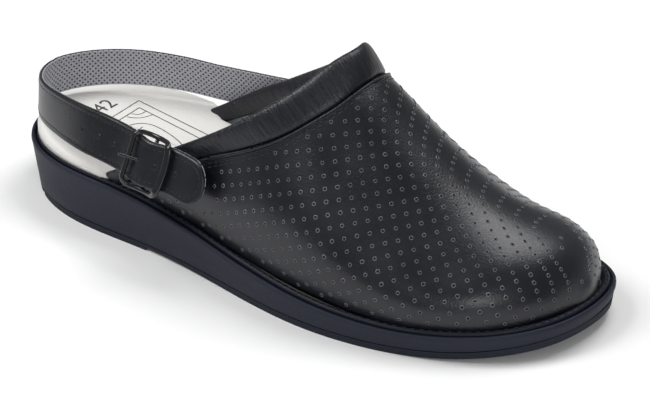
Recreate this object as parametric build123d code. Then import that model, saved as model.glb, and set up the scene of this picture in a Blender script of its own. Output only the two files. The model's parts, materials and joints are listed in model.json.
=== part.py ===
from build123d import *
import math
import os

# Closed-toe leather clog with a moulded wedge sole and a buckled heel strap, right foot, EU 42.
# Everything is drawn with x running from the back of the heel (0) to the tip of the toe, y towards
# the inner (medial) side of the foot and z up from the ground.  The last step moves all the pieces
# so that the origin is under the middle of the shoe.

# ------------------------------------------------------------------ driving dimensions, millimetres
RIM_OUTLINE = [
    (0, 1), (11, -24), (40, -40.5), (92, -45), (139, -51), (185, -57), (225, -52.5), (262, -37.5),
    (285, -13), (291, 13), (285, 37), (262, 52), (215, 55.5), (168, 48.5), (120, 42), (81, 43.5),
    (40, 42.5), (11, 26),
]
RIM_HEIGHT = [(-10, 26), (0, 26.3), (70, 27.2), (110, 23.2), (150, 17.6), (220, 11.5), (260, 12.6), (300, 16.6)]
FOOTBED_HEIGHT = [(-10, 34.4), (0, 34), (40, 32.6), (90, 30), (130, 25.5), (170, 21), (220, 18), (300, 22)]
TOE_SPRING = 6.3
HEEL_BREAST_X = 91.0
HEEL_STEP = 1.6
SOLE_SIDE_TAPER = math.tan(math.radians(7.0))
OUTSOLE_THICKNESS = 3.2
TREAD_GROOVE_WIDTH = 3.0
TREAD_GROOVE_DEPTH = 1.3
TREAD_PITCH = 9.0

RIM_LIP = 1.8
WELT_OUTER_INSET = 1.95
WELT_INNER_INSET = 6.2
BOARD_INSET = 6.4
SHELF_DEPTH = 1.6
WELT_PROUD = 0.9
FIT_GAP = 0.1

SHANK_START_X = 62.0
SHANK_END_X = 168.0
SHANK_WIDTH = 14.0
SHANK_THICKNESS = 1.6
SHANK_SINK = 2.0

FOOTBED_HEEL_INSET = 3.2
FOOTBED_FORE_INSET = 11.0
FOOTBED_COVER = 1.1

# Upper: half widths at the foot line, height and sideways place of the crown, along the shoe
LATERAL_WIDTH = [(66, -39.6), (95, -40.2), (120, -41.9), (139, -45), (185, -50.5), (225, -47), (255, -36), (272, -22), (281, -8),
                 (285.5, 5)]
MEDIAL_WIDTH = [(66, 37), (95, 37.2), (139, 39.5), (185, 45.5), (225, 49), (255, 47), (272, 40), (281, 30),
                (285.5, 20)]
CROWN_HEIGHT = [(66, 128), (120, 122), (150, 114), (172, 103), (186, 93.5), (196, 84.8), (206, 75.8), (216, 67.6),
                (226, 60.3), (236, 54.2), (246, 49.5), (256, 45.8), (266, 42.4), (275, 38), (281.5, 31.5),
                (285.5, 24)]
CROWN_SIDE = [(66, -2), (184, -1), (210, 0), (240, 3), (270, 9), (285.5, 13)]
UPPER_STATIONS = [66, 98, 124, 150, 174, 198, 221, 244, 264, 278, 285.5]
# Cross-section shape, foot line to crown: fraction of the half width and fraction of the height,
# in the open rear half and over the forefoot
REAR_ARCH = [(1.0, 0.0), (1.07, 0.12), (1.04, 0.25), (0.94, 0.36), (0.83, 0.50), (0.62, 0.72), (0.33, 0.92)]
FRONT_ARCH = [(1.0, 0.0), (1.05, 0.15), (1.06, 0.30), (0.98, 0.46), (0.80, 0.62), (0.56, 0.79), (0.30, 0.94)]
ARCH_BLEND = (126.0, 192.0)
VAMP_THICKNESS = 1.25
LINING_THICKNESS = 1.7
PUFF_THICKNESS = 0.8
PUFF_START_X = 244.0

# Topline, seen from the side: lower stitched edge of the collar and its crest
COLLAR_SEAM = [(62, 18), (86, 33), (100, 41), (113, 48.5), (126, 56), (143, 64), (161, 74), (175, 84.5),
               (183, 92), (189, 103), (192, 125)]
COLLAR_CREST = [(52, 22), (73, 34), (90, 45), (107, 56), (126, 67.5), (143, 79), (155, 88), (164, 95.5),
                (171, 103), (175, 111), (176, 125)]
COLLAR_BULGE = [(66, 0.3), (130, 0.3), (152, 2.8), (190, 3.2), (240, 3.2), (290, 3.2)]
COLLAR_INNER = 5.6
COLLAR_SKIN = 1.2

# Heel strap
STRAP_WIDTH = 18.0
STRAP_LEATHER = 1.3
STRAP_LINING = 0.7
LATERAL_LEAN_DEG = 24.0
MEDIAL_LEAN_DEG = 4.0
STRAP_TIP_X = 132.0
STRAP_END_X = 127.0
HOLE_PLACES = [59.2, 70.0, 79.4, 88.0, 96.8, 105.4, 115.4]
HOLE_RADIUS = 1.0
PIVOT_X = 118.5
PIVOT_Z = 47.0

# Buckle, in its own axes: u forward along the strap, v outwards, w up along the bars
BUCKLE_X = 100.5
BUCKLE_Y = -51.4
BUCKLE_Z = 50.6
BUCKLE_SLOPE_DEG = 5.0
BUCKLE_HALF_LENGTH = 9.5
BUCKLE_HALF_HEIGHT = 12.2
BAR_RADIUS = 1.15
END_BAR_V = 0.5
CENTRE_BAR_RADIUS = 0.9
CENTRE_BAR_V = -3.6
PRONG_RUNNING_FIT = 0.08
CHAPE_WIDTH = 13.6
CHAPE_LEATHER = 0.9
CHAPE_LENGTH = 25.0
RIVET_SHANK_RADIUS = 1.5
RIVET_RUNNING_FIT = 0.06
RIVET_HEAD_RADIUS = 3.6
RIVET_HEAD_THICKNESS = 0.8
WASHER_SEAT_FIT = 0.05
STRAP_CLEARANCE = 0.3
LATERAL_HEAD_Y = -48.0
MEDIAL_HEAD_Y = 45.1
LATERAL_WASHER_Y = -39.6
MEDIAL_WASHER_Y = 35.0
TALL = 140.0
FOOT_LINE_MARGIN = 2.0


# ------------------------------------------------------------------ helpers
def height_at(knots, x):
    """Smooth value at x through (x, value) knots: a cubic whose slope at a knot is that of its chord."""
    if x <= knots[0][0]:
        return knots[0][1]
    if x >= knots[-1][0]:
        return knots[-1][1]
    index = max(i for i in range(len(knots) - 1) if knots[i][0] <= x)
    (x0, y0), (x1, y1) = knots[index], knots[index + 1]
    before = knots[max(index - 1, 0)]
    after = knots[min(index + 2, len(knots) - 1)]
    span = x1 - x0
    slope0 = (y1 - before[1]) / (x1 - before[0]) * span
    slope1 = (after[1] - y0) / (after[0] - x0) * span
    t = (x - x0) / span
    return (
        y0 * (2 * t**3 - 3 * t**2 + 1)
        + slope0 * (t**3 - 2 * t**2 + t)
        + y1 * (3 * t**2 - 2 * t**3)
        + slope1 * (t**3 - t**2)
    )


def raised(knots, amount):
    """The same knots, higher by amount."""
    return [(x, z + amount) for x, z in knots]


RIM_EDGE = Spline([Vector(x, y) for x, y in RIM_OUTLINE], periodic=True)
OUTLINE_POINTS = 30


def outline(inset, z=0.0):
    """Closed plan outline, the rim moved inwards by inset (a number or a function of x), at height z."""
    points = []
    for i in range(OUTLINE_POINTS):
        place = RIM_EDGE.position_at(i / OUTLINE_POINTS)
        along = RIM_EDGE.tangent_at(i / OUTLINE_POINTS)
        distance = inset(place.X) if callable(inset) else inset
        points.append(Vector(place.X - along.Y * distance, place.Y + along.X * distance, z))
    return Wire([Spline(points, periodic=True)])


def side_slab(bottom_edges, top_knots, x_min=-10.0, x_max=300.0):
    """Solid between two curves seen from the side, as wide as the shoe and more."""
    top_points = [(x, height_at(top_knots, x)) for x in range(int(x_min), int(x_max) + 1, 15)]
    if top_points[-1][0] < x_max:
        top_points.append((x_max, height_at(top_knots, x_max)))
    top = Spline([Vector(x, 0, z) for x, z in top_points])
    start = bottom_edges[0] @ 0
    end = bottom_edges[-1] @ 1
    edges = list(bottom_edges) + [Line(end, top @ 1), top, Line(top @ 0, start)]
    return extrude(make_face(edges), amount=TALL / 2, dir=(0, 1, 0), both=True)


def knots_edge(knots, x_min=-10.0, x_max=300.0):
    """The side-view curve through the knots, as one edge."""
    xs = list(range(int(x_min), int(x_max) + 1, 15))
    if xs[-1] < x_max:
        xs.append(x_max)
    return [Spline([Vector(x, 0, height_at(knots, x)) for x in xs])]


def prism(inset, z_low=-5.0, z_high=60.0):
    """Upright block with the rim's outline moved inwards."""
    return extrude(make_face(outline(inset, z_low)), amount=z_high - z_low)


def as_solid(shape):
    """The largest solid of a result, so that slivers of a cut are dropped."""
    return max(shape.solids(), key=lambda solid: solid.volume)


# ------------------------------------------------------------------ sole
def ground_edges(lift=0.0):
    """Underside seen from the side: flat heel, small step at the breast, flat tread, toe spring."""
    spring_start = 215.0
    return [
        Line((-10, 0, lift), (HEEL_BREAST_X, 0, lift)),
        Line((HEEL_BREAST_X, 0, lift), (HEEL_BREAST_X + 1, 0, lift + HEEL_STEP)),
        Line((HEEL_BREAST_X + 1, 0, lift + HEEL_STEP), (150, 0, lift)),
        Line((150, 0, lift), (spring_start, 0, lift)),
        TangentArc((spring_start, 0, lift), (300, 0, lift + TOE_SPRING * 1.24), tangent=(1, 0, 0)),
    ]


def sole_block():
    """Whole sole with its slightly tapered side wall, before it is cut into layers."""
    low, high = -1.0, 40.0
    low_wire = outline(lambda x: (height_at(RIM_HEIGHT, x) - low) * SOLE_SIDE_TAPER, low)
    high_wire = outline(lambda x: (height_at(RIM_HEIGHT, x) - high) * SOLE_SIDE_TAPER, high)
    return Solid.make_loft([low_wire, high_wire], ruled=True)


def above_ground(amount):
    """Side-view knots at a constant thickness over the underside, without the breast step."""
    knots = [(-10, amount), (91, amount), (150, amount), (215, amount)]
    knots += [(x, amount + TOE_SPRING * ((x - 215) / 76) ** 2) for x in (240, 265, 300)]
    return knots


def make_tread_sole(block):
    tread_top = above_ground(OUTSOLE_THICKNESS)
    tread = as_solid(block & side_slab(ground_edges(), tread_top))
    groove_sets = [(20, 8), (170, 9)]
    for first_x, count in groove_sets:
        for i in range(count):
            x = first_x + i * TREAD_PITCH
            lift = TOE_SPRING * (max(x - 215, 0) / 76) ** 2
            groove = Pos(x, 0, lift + TREAD_GROOVE_DEPTH - 5) * Box(TREAD_GROOVE_WIDTH, 62, 10)
            tread = tread - groove
    return as_solid(tread)


def shank_solid(grow):
    """Steel strip bent along the arch, under the insole board; grow is the clearance round it."""
    top = raised(RIM_HEIGHT, -SHELF_DEPTH - SHANK_SINK + SHANK_THICKNESS + grow)
    bottom = raised(RIM_HEIGHT, -SHELF_DEPTH - SHANK_SINK - grow)
    slab = side_slab(knots_edge(bottom), top)
    length = SHANK_END_X - SHANK_START_X + 2 * grow
    width = SHANK_WIDTH + 2 * grow
    plan = Pos((SHANK_START_X + SHANK_END_X) / 2, -2, 0) * SlotOverall(length, width)
    return as_solid(extrude(plan, amount=40) & slab)


def make_midsole(block):
    tread_top = above_ground(OUTSOLE_THICKNESS)
    wedge = block & side_slab(knots_edge(tread_top), RIM_HEIGHT)
    shelf = raised(RIM_HEIGHT, -SHELF_DEPTH)
    wedge = wedge - (prism(RIM_LIP) & side_slab(knots_edge(shelf), raised(RIM_HEIGHT, 20)))
    slot_top = raised(RIM_HEIGHT, -SHELF_DEPTH + 1)
    slot_bottom = raised(RIM_HEIGHT, -SHELF_DEPTH - SHANK_SINK - FIT_GAP)
    slot_plan = Pos((SHANK_START_X + SHANK_END_X) / 2, -2, 0) * SlotOverall(
        SHANK_END_X - SHANK_START_X + 2 * FIT_GAP, SHANK_WIDTH + 2 * FIT_GAP
    )
    slot = extrude(slot_plan, amount=40) & side_slab(knots_edge(slot_bottom), slot_top)
    return as_solid(wedge - slot)


def make_welt():
    band = side_slab(knots_edge(raised(RIM_HEIGHT, -SHELF_DEPTH)), raised(RIM_HEIGHT, WELT_PROUD))
    ring = prism(WELT_OUTER_INSET) - prism(WELT_INNER_INSET, -6, 61)
    return as_solid(ring & band)


def make_board():
    band = side_slab(knots_edge(raised(RIM_HEIGHT, -SHELF_DEPTH)), raised(RIM_HEIGHT, WELT_PROUD))
    return as_solid(prism(BOARD_INSET) & band)


# ------------------------------------------------------------------ footbed
def footbed_inset(x):
    """The footbed reaches the rim behind the upper and lies inside the lining under it."""
    blend = min(max((x - 56) / 16, 0), 1)
    blend = blend * blend * (3 - 2 * blend)
    return FOOTBED_HEEL_INSET + (FOOTBED_FORE_INSET - FOOTBED_HEEL_INSET) * blend


def make_footbed():
    base = raised(RIM_HEIGHT, WELT_PROUD + FIT_GAP)
    body = as_solid(prism(footbed_inset) & side_slab(knots_edge(base), FOOTBED_HEIGHT))
    inner_top = raised(FOOTBED_HEIGHT, -FOOTBED_COVER)
    core_prism = prism(lambda x: footbed_inset(x) + FOOTBED_COVER)
    core = as_solid(core_prism & side_slab(knots_edge(base), inner_top))
    cover = as_solid(body - core)
    return core, cover


# ------------------------------------------------------------------ upper
def upper_section(x, inward):
    """Closed cross-section of the upper at x, each wall moved in by inward (outwards if negative)."""
    tip = UPPER_STATIONS[-1]
    bend = 200.0
    place = x if x <= bend else bend + (x - bend) * (tip - bend - inward) / (tip - bend)
    foot = height_at(RIM_HEIGHT, x) - FOOT_LINE_MARGIN
    crown = height_at(CROWN_HEIGHT, x) - inward
    centre = height_at(CROWN_SIDE, x)
    lateral = height_at(LATERAL_WIDTH, x) + inward - centre
    medial = height_at(MEDIAL_WIDTH, x) - inward - centre
    front_share = min(max((x - ARCH_BLEND[0]) / (ARCH_BLEND[1] - ARCH_BLEND[0]), 0), 1)
    shape = []
    for (rear_width, rear_lift), (front_width, front_lift) in zip(REAR_ARCH, FRONT_ARCH):
        width = rear_width + (front_width - rear_width) * front_share
        lift = rear_lift + (front_lift - rear_lift) * front_share
        shape.append((width, foot + (crown - foot) * lift))
    arch = [Vector(place, centre + lateral * width, z) for width, z in shape]
    arch.append(Vector(place, centre, crown))
    arch += [Vector(place, centre + medial * width, z) for width, z in reversed(shape)]
    curve = Spline(arch)
    return Wire([curve, Line(arch[-1], arch[0])])


def upper_block(inward):
    """Solid inside the upper's skin at a depth, a number or a function of x."""
    depth = inward if callable(inward) else (lambda x: inward)
    return Solid.make_loft([upper_section(x, depth(x)) for x in UPPER_STATIONS])


def over_foot_line():
    """Everything above the welt and the insole board, where the upper and the footbed stand."""
    return side_slab(knots_edge(raised(RIM_HEIGHT, WELT_PROUD + FIT_GAP)), raised(RIM_HEIGHT, TALL))


def behind(knots):
    """Everything behind and above a topline curve seen from the side."""
    curve = Spline([Vector(x, 0, z) for x, z in knots])
    corner_low = (30, 0, knots[0][1])
    corner_high = (30, 0, knots[-1][1] + 20)
    top_end = (knots[-1][0], 0, knots[-1][1] + 20)
    edges = [curve, Line(curve @ 1, top_end), Line(top_end, corner_high), Line(corner_high, corner_low),
             Line(corner_low, curve @ 0)]
    return extrude(make_face(edges), amount=TALL / 2, dir=(0, 1, 0), both=True)


def bulge(x):
    return height_at(COLLAR_BULGE, x)


def make_upper():
    skin = upper_block(0.0)
    under_vamp = upper_block(VAMP_THICKNESS)
    lining_outside = upper_block(VAMP_THICKNESS + 0.05)
    foot_space = upper_block(VAMP_THICKNESS + LINING_THICKNESS)
    standing = over_foot_line()
    over_seam = behind(COLLAR_SEAM)
    over_crest = behind(COLLAR_CREST)
    vamp = as_solid(((skin - under_vamp) - over_seam) & standing)
    lining = ((lining_outside - foot_space) - over_seam) & standing
    puff_zone = Pos(PUFF_START_X + 60, 0, 60) * Box(120, TALL, 120)
    puff_shell = lining_outside - upper_block(VAMP_THICKNESS + 0.05 + PUFF_THICKNESS)
    puff = as_solid((puff_shell & puff_zone) & standing)
    lining = as_solid(lining - puff)
    collar_outside = upper_block(lambda x: -bulge(x))
    collar_inside = upper_block(COLLAR_INNER)
    zone = (over_seam - over_crest) & standing
    collar = as_solid((collar_outside - collar_inside) & zone)
    foam_outside = upper_block(lambda x: COLLAR_SKIN - bulge(x))
    foam_inside = upper_block(COLLAR_INNER - COLLAR_SKIN)
    low_crest = [(x + 0.6, z - COLLAR_SKIN) for x, z in COLLAR_CREST]
    foam = as_solid((foam_outside - foam_inside) & ((over_seam - behind(low_crest)) & standing))
    cover = as_solid(collar - foam)
    return {"vamp_outer": vamp, "vamp_lining": lining, "toe_puff": puff,
            "collar_cover": cover, "collar_foam": foam}


# ------------------------------------------------------------------ heel strap
STRAP_PATH = [
    (132, -50.8), (121, -49.9), (110, -49.2), (100.5, -51.15), (91, -48.6), (66, -44.2), (40, -36.6),
    (18, -23.5), (6.8, -3), (18, 17.5), (40, 30), (66, 39), (90, 42.9), (107, 44.2), (127, 44.8), (150, 34),
    (165, 0), (154, -34),
]
LATERAL_CENTRE = [(-10, 45.2), (6.8, 45.4), (18, 47.4), (40, 50.4), (66, 52), (84, 51.6), (100.5, 50.6),
                  (119, 49), (140, 47.4)]
MEDIAL_CENTRE = [(-10, 45.2), (6.8, 45.4), (18, 45.8), (38, 46.4), (54, 45.6), (72, 44.2), (95, 45),
                 (118.5, 46.6), (140, 47)]


def strap_height(x, y):
    """Height of the strap's centre line on the arm that lies on the side of y."""
    return height_at(LATERAL_CENTRE if y < 0 else MEDIAL_CENTRE, x)


def strap_lean(x, y):
    """Inward lean of the strap: full on the arms, small round the heel."""
    share = min(max((x - 8) / 55, 0.15), 1.0)
    return math.tan(math.radians(share * (LATERAL_LEAN_DEG if y < 0 else MEDIAL_LEAN_DEG)))


def strap_loop(offset, z):
    """Closed plan loop through the strap's mid-path, moved outwards by offset, at height z."""
    edge = Spline([Vector(x, y) for x, y in STRAP_PATH], periodic=True)
    points = []
    count = 52
    for i in range(count):
        place = edge.position_at(i / count)
        along = edge.tangent_at(i / count)
        rise = z - strap_height(place.X, place.Y)
        shift = offset - rise * strap_lean(place.X, place.Y)
        points.append(Vector(place.X + along.Y * -shift, place.Y + along.X * shift, z))
    return Wire([Spline(points, periodic=True)])


def strap_band(outer_offset, inner_offset):
    """Leaning closed band between two offsets from the strap's mid-path."""
    low, high = 30.0, 66.0
    outside = Solid.make_loft([strap_loop(outer_offset, low), strap_loop(outer_offset, high)], ruled=True)
    inside = Solid.make_loft([strap_loop(inner_offset, low), strap_loop(inner_offset, high)], ruled=True)
    return outside - inside


def strap_side_view(knots, end_x, width):
    """One arm's outline seen from the side, with a round end at end_x."""
    radius = width / 2
    centre_x = end_x - radius
    centre_z = height_at(knots, centre_x)
    xs = [-10, 5, 20, 40, 60, 80, 100, centre_x]
    top = Spline([Vector(x, 0, height_at(knots, x) + radius) for x in xs])
    bottom = Spline([Vector(x, 0, height_at(knots, x) - radius) for x in xs])
    nose = ThreePointArc(top @ 1, (end_x, 0, centre_z), bottom @ 1)
    return make_face([top, nose, bottom, Line(bottom @ 0, top @ 0)])


def strap_layer(outer_offset, inner_offset, width):
    """One layer of the strap: the leaning band cut to the side view of each arm."""
    band = strap_band(outer_offset, inner_offset)
    lateral = extrude(strap_side_view(LATERAL_CENTRE, STRAP_TIP_X, width), amount=TALL, dir=(0, -1, 0))
    medial = extrude(strap_side_view(MEDIAL_CENTRE, STRAP_END_X, width), amount=TALL, dir=(0, 1, 0))
    return as_solid(band & (lateral + medial))


BUCKLE_PLACE = Pos(BUCKLE_X, BUCKLE_Y, BUCKLE_Z) * Rot(-LATERAL_LEAN_DEG, 0, 0) * Rot(0, BUCKLE_SLOPE_DEG, 0)


def buckle_axes(shape):
    """Moves a shape from the buckle's own axes (u, v, w as x, -y, z) to its place on the shoe."""
    return BUCKLE_PLACE * shape


def along_bars(radius, u, v, length):
    """Round bar along w at (u, v) in the buckle's axes."""
    return Pos(u, -v, 0) * Cylinder(radius, length)


def make_strap():
    leather = strap_layer(1.0, -0.3, STRAP_WIDTH)
    lining = strap_layer(-0.3 - 0.02, -1.0, STRAP_WIDTH)
    for x in HOLE_PLACES:
        z = height_at(LATERAL_CENTRE, x)
        drill = Pos(x, -45, z) * Rot(90, 0, 0) * Cylinder(HOLE_RADIUS, 30)
        leather = leather - drill
        lining = lining - drill
    slot = buckle_axes(Pos(-5.4, 0, 0) * Rot(90, 0, 0) * extrude(SlotOverall(9.0, 3.4), amount=12, both=True))
    leather = leather - slot
    lining = lining - slot
    return as_solid(leather), as_solid(lining)


def make_buckle_frame():
    half_u, half_w = BUCKLE_HALF_LENGTH, BUCKLE_HALF_HEIGHT
    near = -END_BAR_V - BAR_RADIUS
    far = -END_BAR_V + BAR_RADIUS
    rail_outer = ThreePointArc((-half_u, near), (0, -CENTRE_BAR_V - 1.1), (half_u, near))
    rail_inner = ThreePointArc((-half_u, far), (0, -CENTRE_BAR_V + 1.3), (half_u, far))
    cap_left = ThreePointArc(rail_outer @ 0, (-half_u - BAR_RADIUS, -END_BAR_V), rail_inner @ 0)
    cap_right = ThreePointArc(rail_outer @ 1, (half_u + BAR_RADIUS, -END_BAR_V), rail_inner @ 1)
    rail_face = make_face([rail_outer, cap_right, rail_inner, cap_left])
    rail = extrude(rail_face, amount=1.0, both=True)
    frame = Pos(0, 0, half_w) * rail + Pos(0, 0, -half_w) * rail
    frame = frame + along_bars(BAR_RADIUS, -half_u, END_BAR_V, 2 * half_w)
    frame = frame + along_bars(BAR_RADIUS, half_u, END_BAR_V, 2 * half_w)
    frame = frame + along_bars(CENTRE_BAR_RADIUS, 0, CENTRE_BAR_V, 2 * half_w)
    return as_solid(buckle_axes(frame))


def make_prong():
    ring = along_bars(1.9, 0, CENTRE_BAR_V, 3.0) - along_bars(CENTRE_BAR_RADIUS + PRONG_RUNNING_FIT, 0, CENTRE_BAR_V, 4)
    start = Vector(-1.3, 2.1, 0)
    over_bar = Vector(-BUCKLE_HALF_LENGTH, -END_BAR_V - BAR_RADIUS - 1.0, 0)
    direction = (over_bar - start).normalized()
    length = (over_bar - start).length + 2.6
    tongue = extrude(Plane(origin=start, z_dir=direction) * Circle(0.7), amount=length)
    tip = Pos(*(start + direction * length)) * Sphere(0.7)
    clear = along_bars(CENTRE_BAR_RADIUS + PRONG_RUNNING_FIT, 0, CENTRE_BAR_V, 4)
    return as_solid(buckle_axes((ring + tongue + tip) - clear))


def chape_plan():
    """Folded leather loop round the centre bar, seen along the bar."""
    v0 = -CENTRE_BAR_V
    bore = CENTRE_BAR_RADIUS + PRONG_RUNNING_FIT
    wrap = bore + CHAPE_LEATHER
    far_u = CHAPE_LENGTH
    low = v0 + wrap
    high = v0 - wrap
    meet_u = 7.0
    fold_v = low - 2 * CHAPE_LEATHER
    outer = [
        ThreePointArc((0, high), (-wrap, v0), (0, low)),
        Line((0, low), (far_u, low)),
        Line((far_u, low), (far_u, fold_v)),
        Line((far_u, fold_v), (meet_u, fold_v)),
        Line((meet_u, fold_v), (0, high)),
    ]
    face = make_face(outer)
    inner = [
        ThreePointArc((0, v0 - bore), (-bore, v0), (0, v0 + bore)),
        Line((0, v0 + bore), (meet_u - 1.5, v0 + bore)),
        Line((meet_u - 1.5, v0 + bore), (0, v0 - bore)),
    ]
    return face - make_face(inner)


def make_chape():
    body = extrude(chape_plan(), amount=CHAPE_WIDTH / 2, both=True)
    window = Pos(-1.2, -CENTRE_BAR_V, 0) * Box(6.4, 9, 3.6)
    return as_solid(buckle_axes(body - window))


def across_shoe(radius, y_low, y_high):
    """Round bar along y through the strap's pivot."""
    return Pos(PIVOT_X, (y_low + y_high) / 2, PIVOT_Z) * Rot(90, 0, 0) * Cylinder(radius, abs(y_high - y_low))


def rivet_head(y, side, grow=0.0):
    """Flat head lying along the leaning leather; side is -1 lateral, +1 medial."""
    lean = Rot(-LATERAL_LEAN_DEG if side < 0 else MEDIAL_LEAN_DEG, 0, 0)
    disc = Rot(90, 0, 0) * Cylinder(RIVET_HEAD_RADIUS + grow, RIVET_HEAD_THICKNESS + 2 * grow)
    return Pos(PIVOT_X, y, PIVOT_Z) * lean * disc


def make_rivets():
    """The two rivets and their inside washers; the strap and its buckle turn about them."""
    lateral = rivet_head(LATERAL_HEAD_Y, -1) + across_shoe(RIVET_SHANK_RADIUS, LATERAL_HEAD_Y, LATERAL_WASHER_Y)
    medial = rivet_head(MEDIAL_HEAD_Y, 1) + across_shoe(RIVET_SHANK_RADIUS, MEDIAL_WASHER_Y, MEDIAL_HEAD_Y)
    half = RIVET_HEAD_THICKNESS / 2
    washers = []
    for y in (LATERAL_WASHER_Y, MEDIAL_WASHER_Y):
        ring = across_shoe(RIVET_HEAD_RADIUS, y - half, y + half)
        washers.append(ring - across_shoe(RIVET_SHANK_RADIUS, y - 2, y + 2))
    return {"chape_rivet": as_solid(lateral), "strap_rivet": as_solid(medial),
            "chape_rivet_washer": as_solid(washers[0]), "strap_rivet_washer": as_solid(washers[1])}


if __name__ == "__main__":
    os.makedirs("parts", exist_ok=True)
    block = sole_block()
    pieces = {
        "tread_sole": make_tread_sole(block),
        "midsole_wedge": make_midsole(block),
        "welt_strip": make_welt(),
        "insole_board": make_board(),
        "steel_shank": shank_solid(0.0),
    }
    pieces["footbed_core"], pieces["footbed_cover"] = make_footbed()
    pieces.update(make_upper())
    pieces["strap_leather"], pieces["strap_lining"] = make_strap()
    pieces["buckle_frame"] = make_buckle_frame()
    pieces["buckle_prong"] = make_prong()
    pieces["buckle_chape"] = make_chape()
    pieces.update(make_rivets())
    footbed_room = pieces["footbed_core"] + pieces["footbed_cover"]
    strap_room = strap_layer(1.0 + STRAP_CLEARANCE, -1.0 - STRAP_CLEARANCE, STRAP_WIDTH + 2 * STRAP_CLEARANCE)
    for name in ("collar_cover", "collar_foam"):
        pieces[name] = as_solid((pieces[name] - footbed_room) - strap_room)
    running_bore = across_shoe(RIVET_SHANK_RADIUS + RIVET_RUNNING_FIT, -TALL, TALL)
    for name in ("vamp_outer", "vamp_lining"):
        pieces[name] = as_solid(pieces[name] - running_bore)
    for washer_y in (LATERAL_WASHER_Y, MEDIAL_WASHER_Y):
        half_seat = RIVET_HEAD_THICKNESS / 2 + WASHER_SEAT_FIT
        seat = across_shoe(RIVET_HEAD_RADIUS + WASHER_SEAT_FIT, washer_y - half_seat, washer_y + half_seat)
        pieces["vamp_lining"] = as_solid(pieces["vamp_lining"] - seat)
    lateral_seat = rivet_head(LATERAL_HEAD_Y, -1) + across_shoe(RIVET_SHANK_RADIUS, -60, -30)
    pieces["buckle_chape"] = as_solid(pieces["buckle_chape"] - lateral_seat)
    medial_seat = across_shoe(RIVET_SHANK_RADIUS, 30, 60) + rivet_head(MEDIAL_HEAD_Y, 1)
    for name in ("strap_leather", "strap_lining"):
        pieces[name] = as_solid(pieces[name] - medial_seat)
    boxes = [piece.bounding_box() for piece in pieces.values()]
    middle_x = (min(box.min.X for box in boxes) + max(box.max.X for box in boxes)) / 2
    middle_y = (min(box.min.Y for box in boxes) + max(box.max.Y for box in boxes)) / 2
    lowest = min(box.min.Z for box in boxes)
    print("origin moved by", -middle_x, -middle_y, -lowest)
    for name, piece in pieces.items():
        export_step(Pos(-middle_x, -middle_y, -lowest) * piece, os.path.join("parts", name + ".step"))
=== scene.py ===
"""Looks of a closed-toe leather clog with a buckled heel strap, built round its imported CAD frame.

Sizes inside the classes are millimetres in the maker's own axes: x from the back of the heel to the
toe, y to the inner side of the foot, z up.  LAST_ORIGIN moves them to the frame's axes, in metres.
"""

import json
import logging
import math
from dataclasses import dataclass, field
from enum import Enum
from typing import Callable, Sequence

import bmesh
import bpy
import numpy as np
from mathutils import Matrix, Vector
from mathutils.bvhtree import BVHTree

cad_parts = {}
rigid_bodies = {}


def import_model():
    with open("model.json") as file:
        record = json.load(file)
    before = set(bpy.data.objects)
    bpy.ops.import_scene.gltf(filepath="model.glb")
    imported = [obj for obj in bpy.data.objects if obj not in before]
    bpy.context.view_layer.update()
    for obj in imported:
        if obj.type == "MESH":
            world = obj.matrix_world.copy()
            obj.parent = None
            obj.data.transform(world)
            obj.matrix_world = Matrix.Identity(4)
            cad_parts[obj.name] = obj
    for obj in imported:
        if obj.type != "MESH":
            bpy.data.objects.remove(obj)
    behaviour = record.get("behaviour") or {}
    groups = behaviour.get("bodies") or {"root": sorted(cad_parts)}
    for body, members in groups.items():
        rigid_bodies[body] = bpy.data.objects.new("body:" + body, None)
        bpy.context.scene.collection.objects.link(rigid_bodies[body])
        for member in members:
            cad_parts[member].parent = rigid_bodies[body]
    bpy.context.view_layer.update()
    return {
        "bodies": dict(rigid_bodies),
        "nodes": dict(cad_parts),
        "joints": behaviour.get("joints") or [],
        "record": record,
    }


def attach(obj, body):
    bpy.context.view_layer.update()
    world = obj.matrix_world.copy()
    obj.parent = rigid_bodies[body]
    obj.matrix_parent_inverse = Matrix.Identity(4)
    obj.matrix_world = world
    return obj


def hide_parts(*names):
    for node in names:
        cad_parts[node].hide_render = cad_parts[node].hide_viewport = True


LOG = logging.getLogger("clog")
LAST_ORIGIN = (145.573, -1.134, 0.0)
MM = 0.001
Knots = Sequence[tuple[float, float]]


class Side(Enum):
    """The two sides of a right shoe."""

    LATERAL = -1
    MEDIAL = 1


class Print(Enum):
    """What is printed on the footbed."""

    SIZE = "42"


# ------------------------------------------------------------------ curves and meshes
def at(knots: Knots, x: np.ndarray | float) -> np.ndarray:
    """Smooth values at x through (x, value) knots, with the slope of the chord at each knot.

    Args:
        knots: the points the curve goes through.
        x: one place or many.

    Returns:
        The values, held constant beyond the ends.
    """
    place = np.array([k[0] for k in knots], float)
    value = np.array([k[1] for k in knots], float)
    x = np.clip(np.asarray(x, float), place[0], place[-1])
    i = np.clip(np.searchsorted(place, x, side="right") - 1, 0, len(place) - 2)
    before, after = np.maximum(i - 1, 0), np.minimum(i + 2, len(place) - 1)
    span = place[i + 1] - place[i]
    slope_0 = (value[i + 1] - value[before]) / (place[i + 1] - place[before]) * span
    slope_1 = (value[after] - value[i]) / (place[after] - place[i]) * span
    t = (x - place[i]) / span
    return (
        value[i] * (2 * t**3 - 3 * t**2 + 1) + slope_0 * (t**3 - 2 * t**2 + t)
        + value[i + 1] * (3 * t**2 - 2 * t**3) + slope_1 * (t**3 - t**2)
    )


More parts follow.
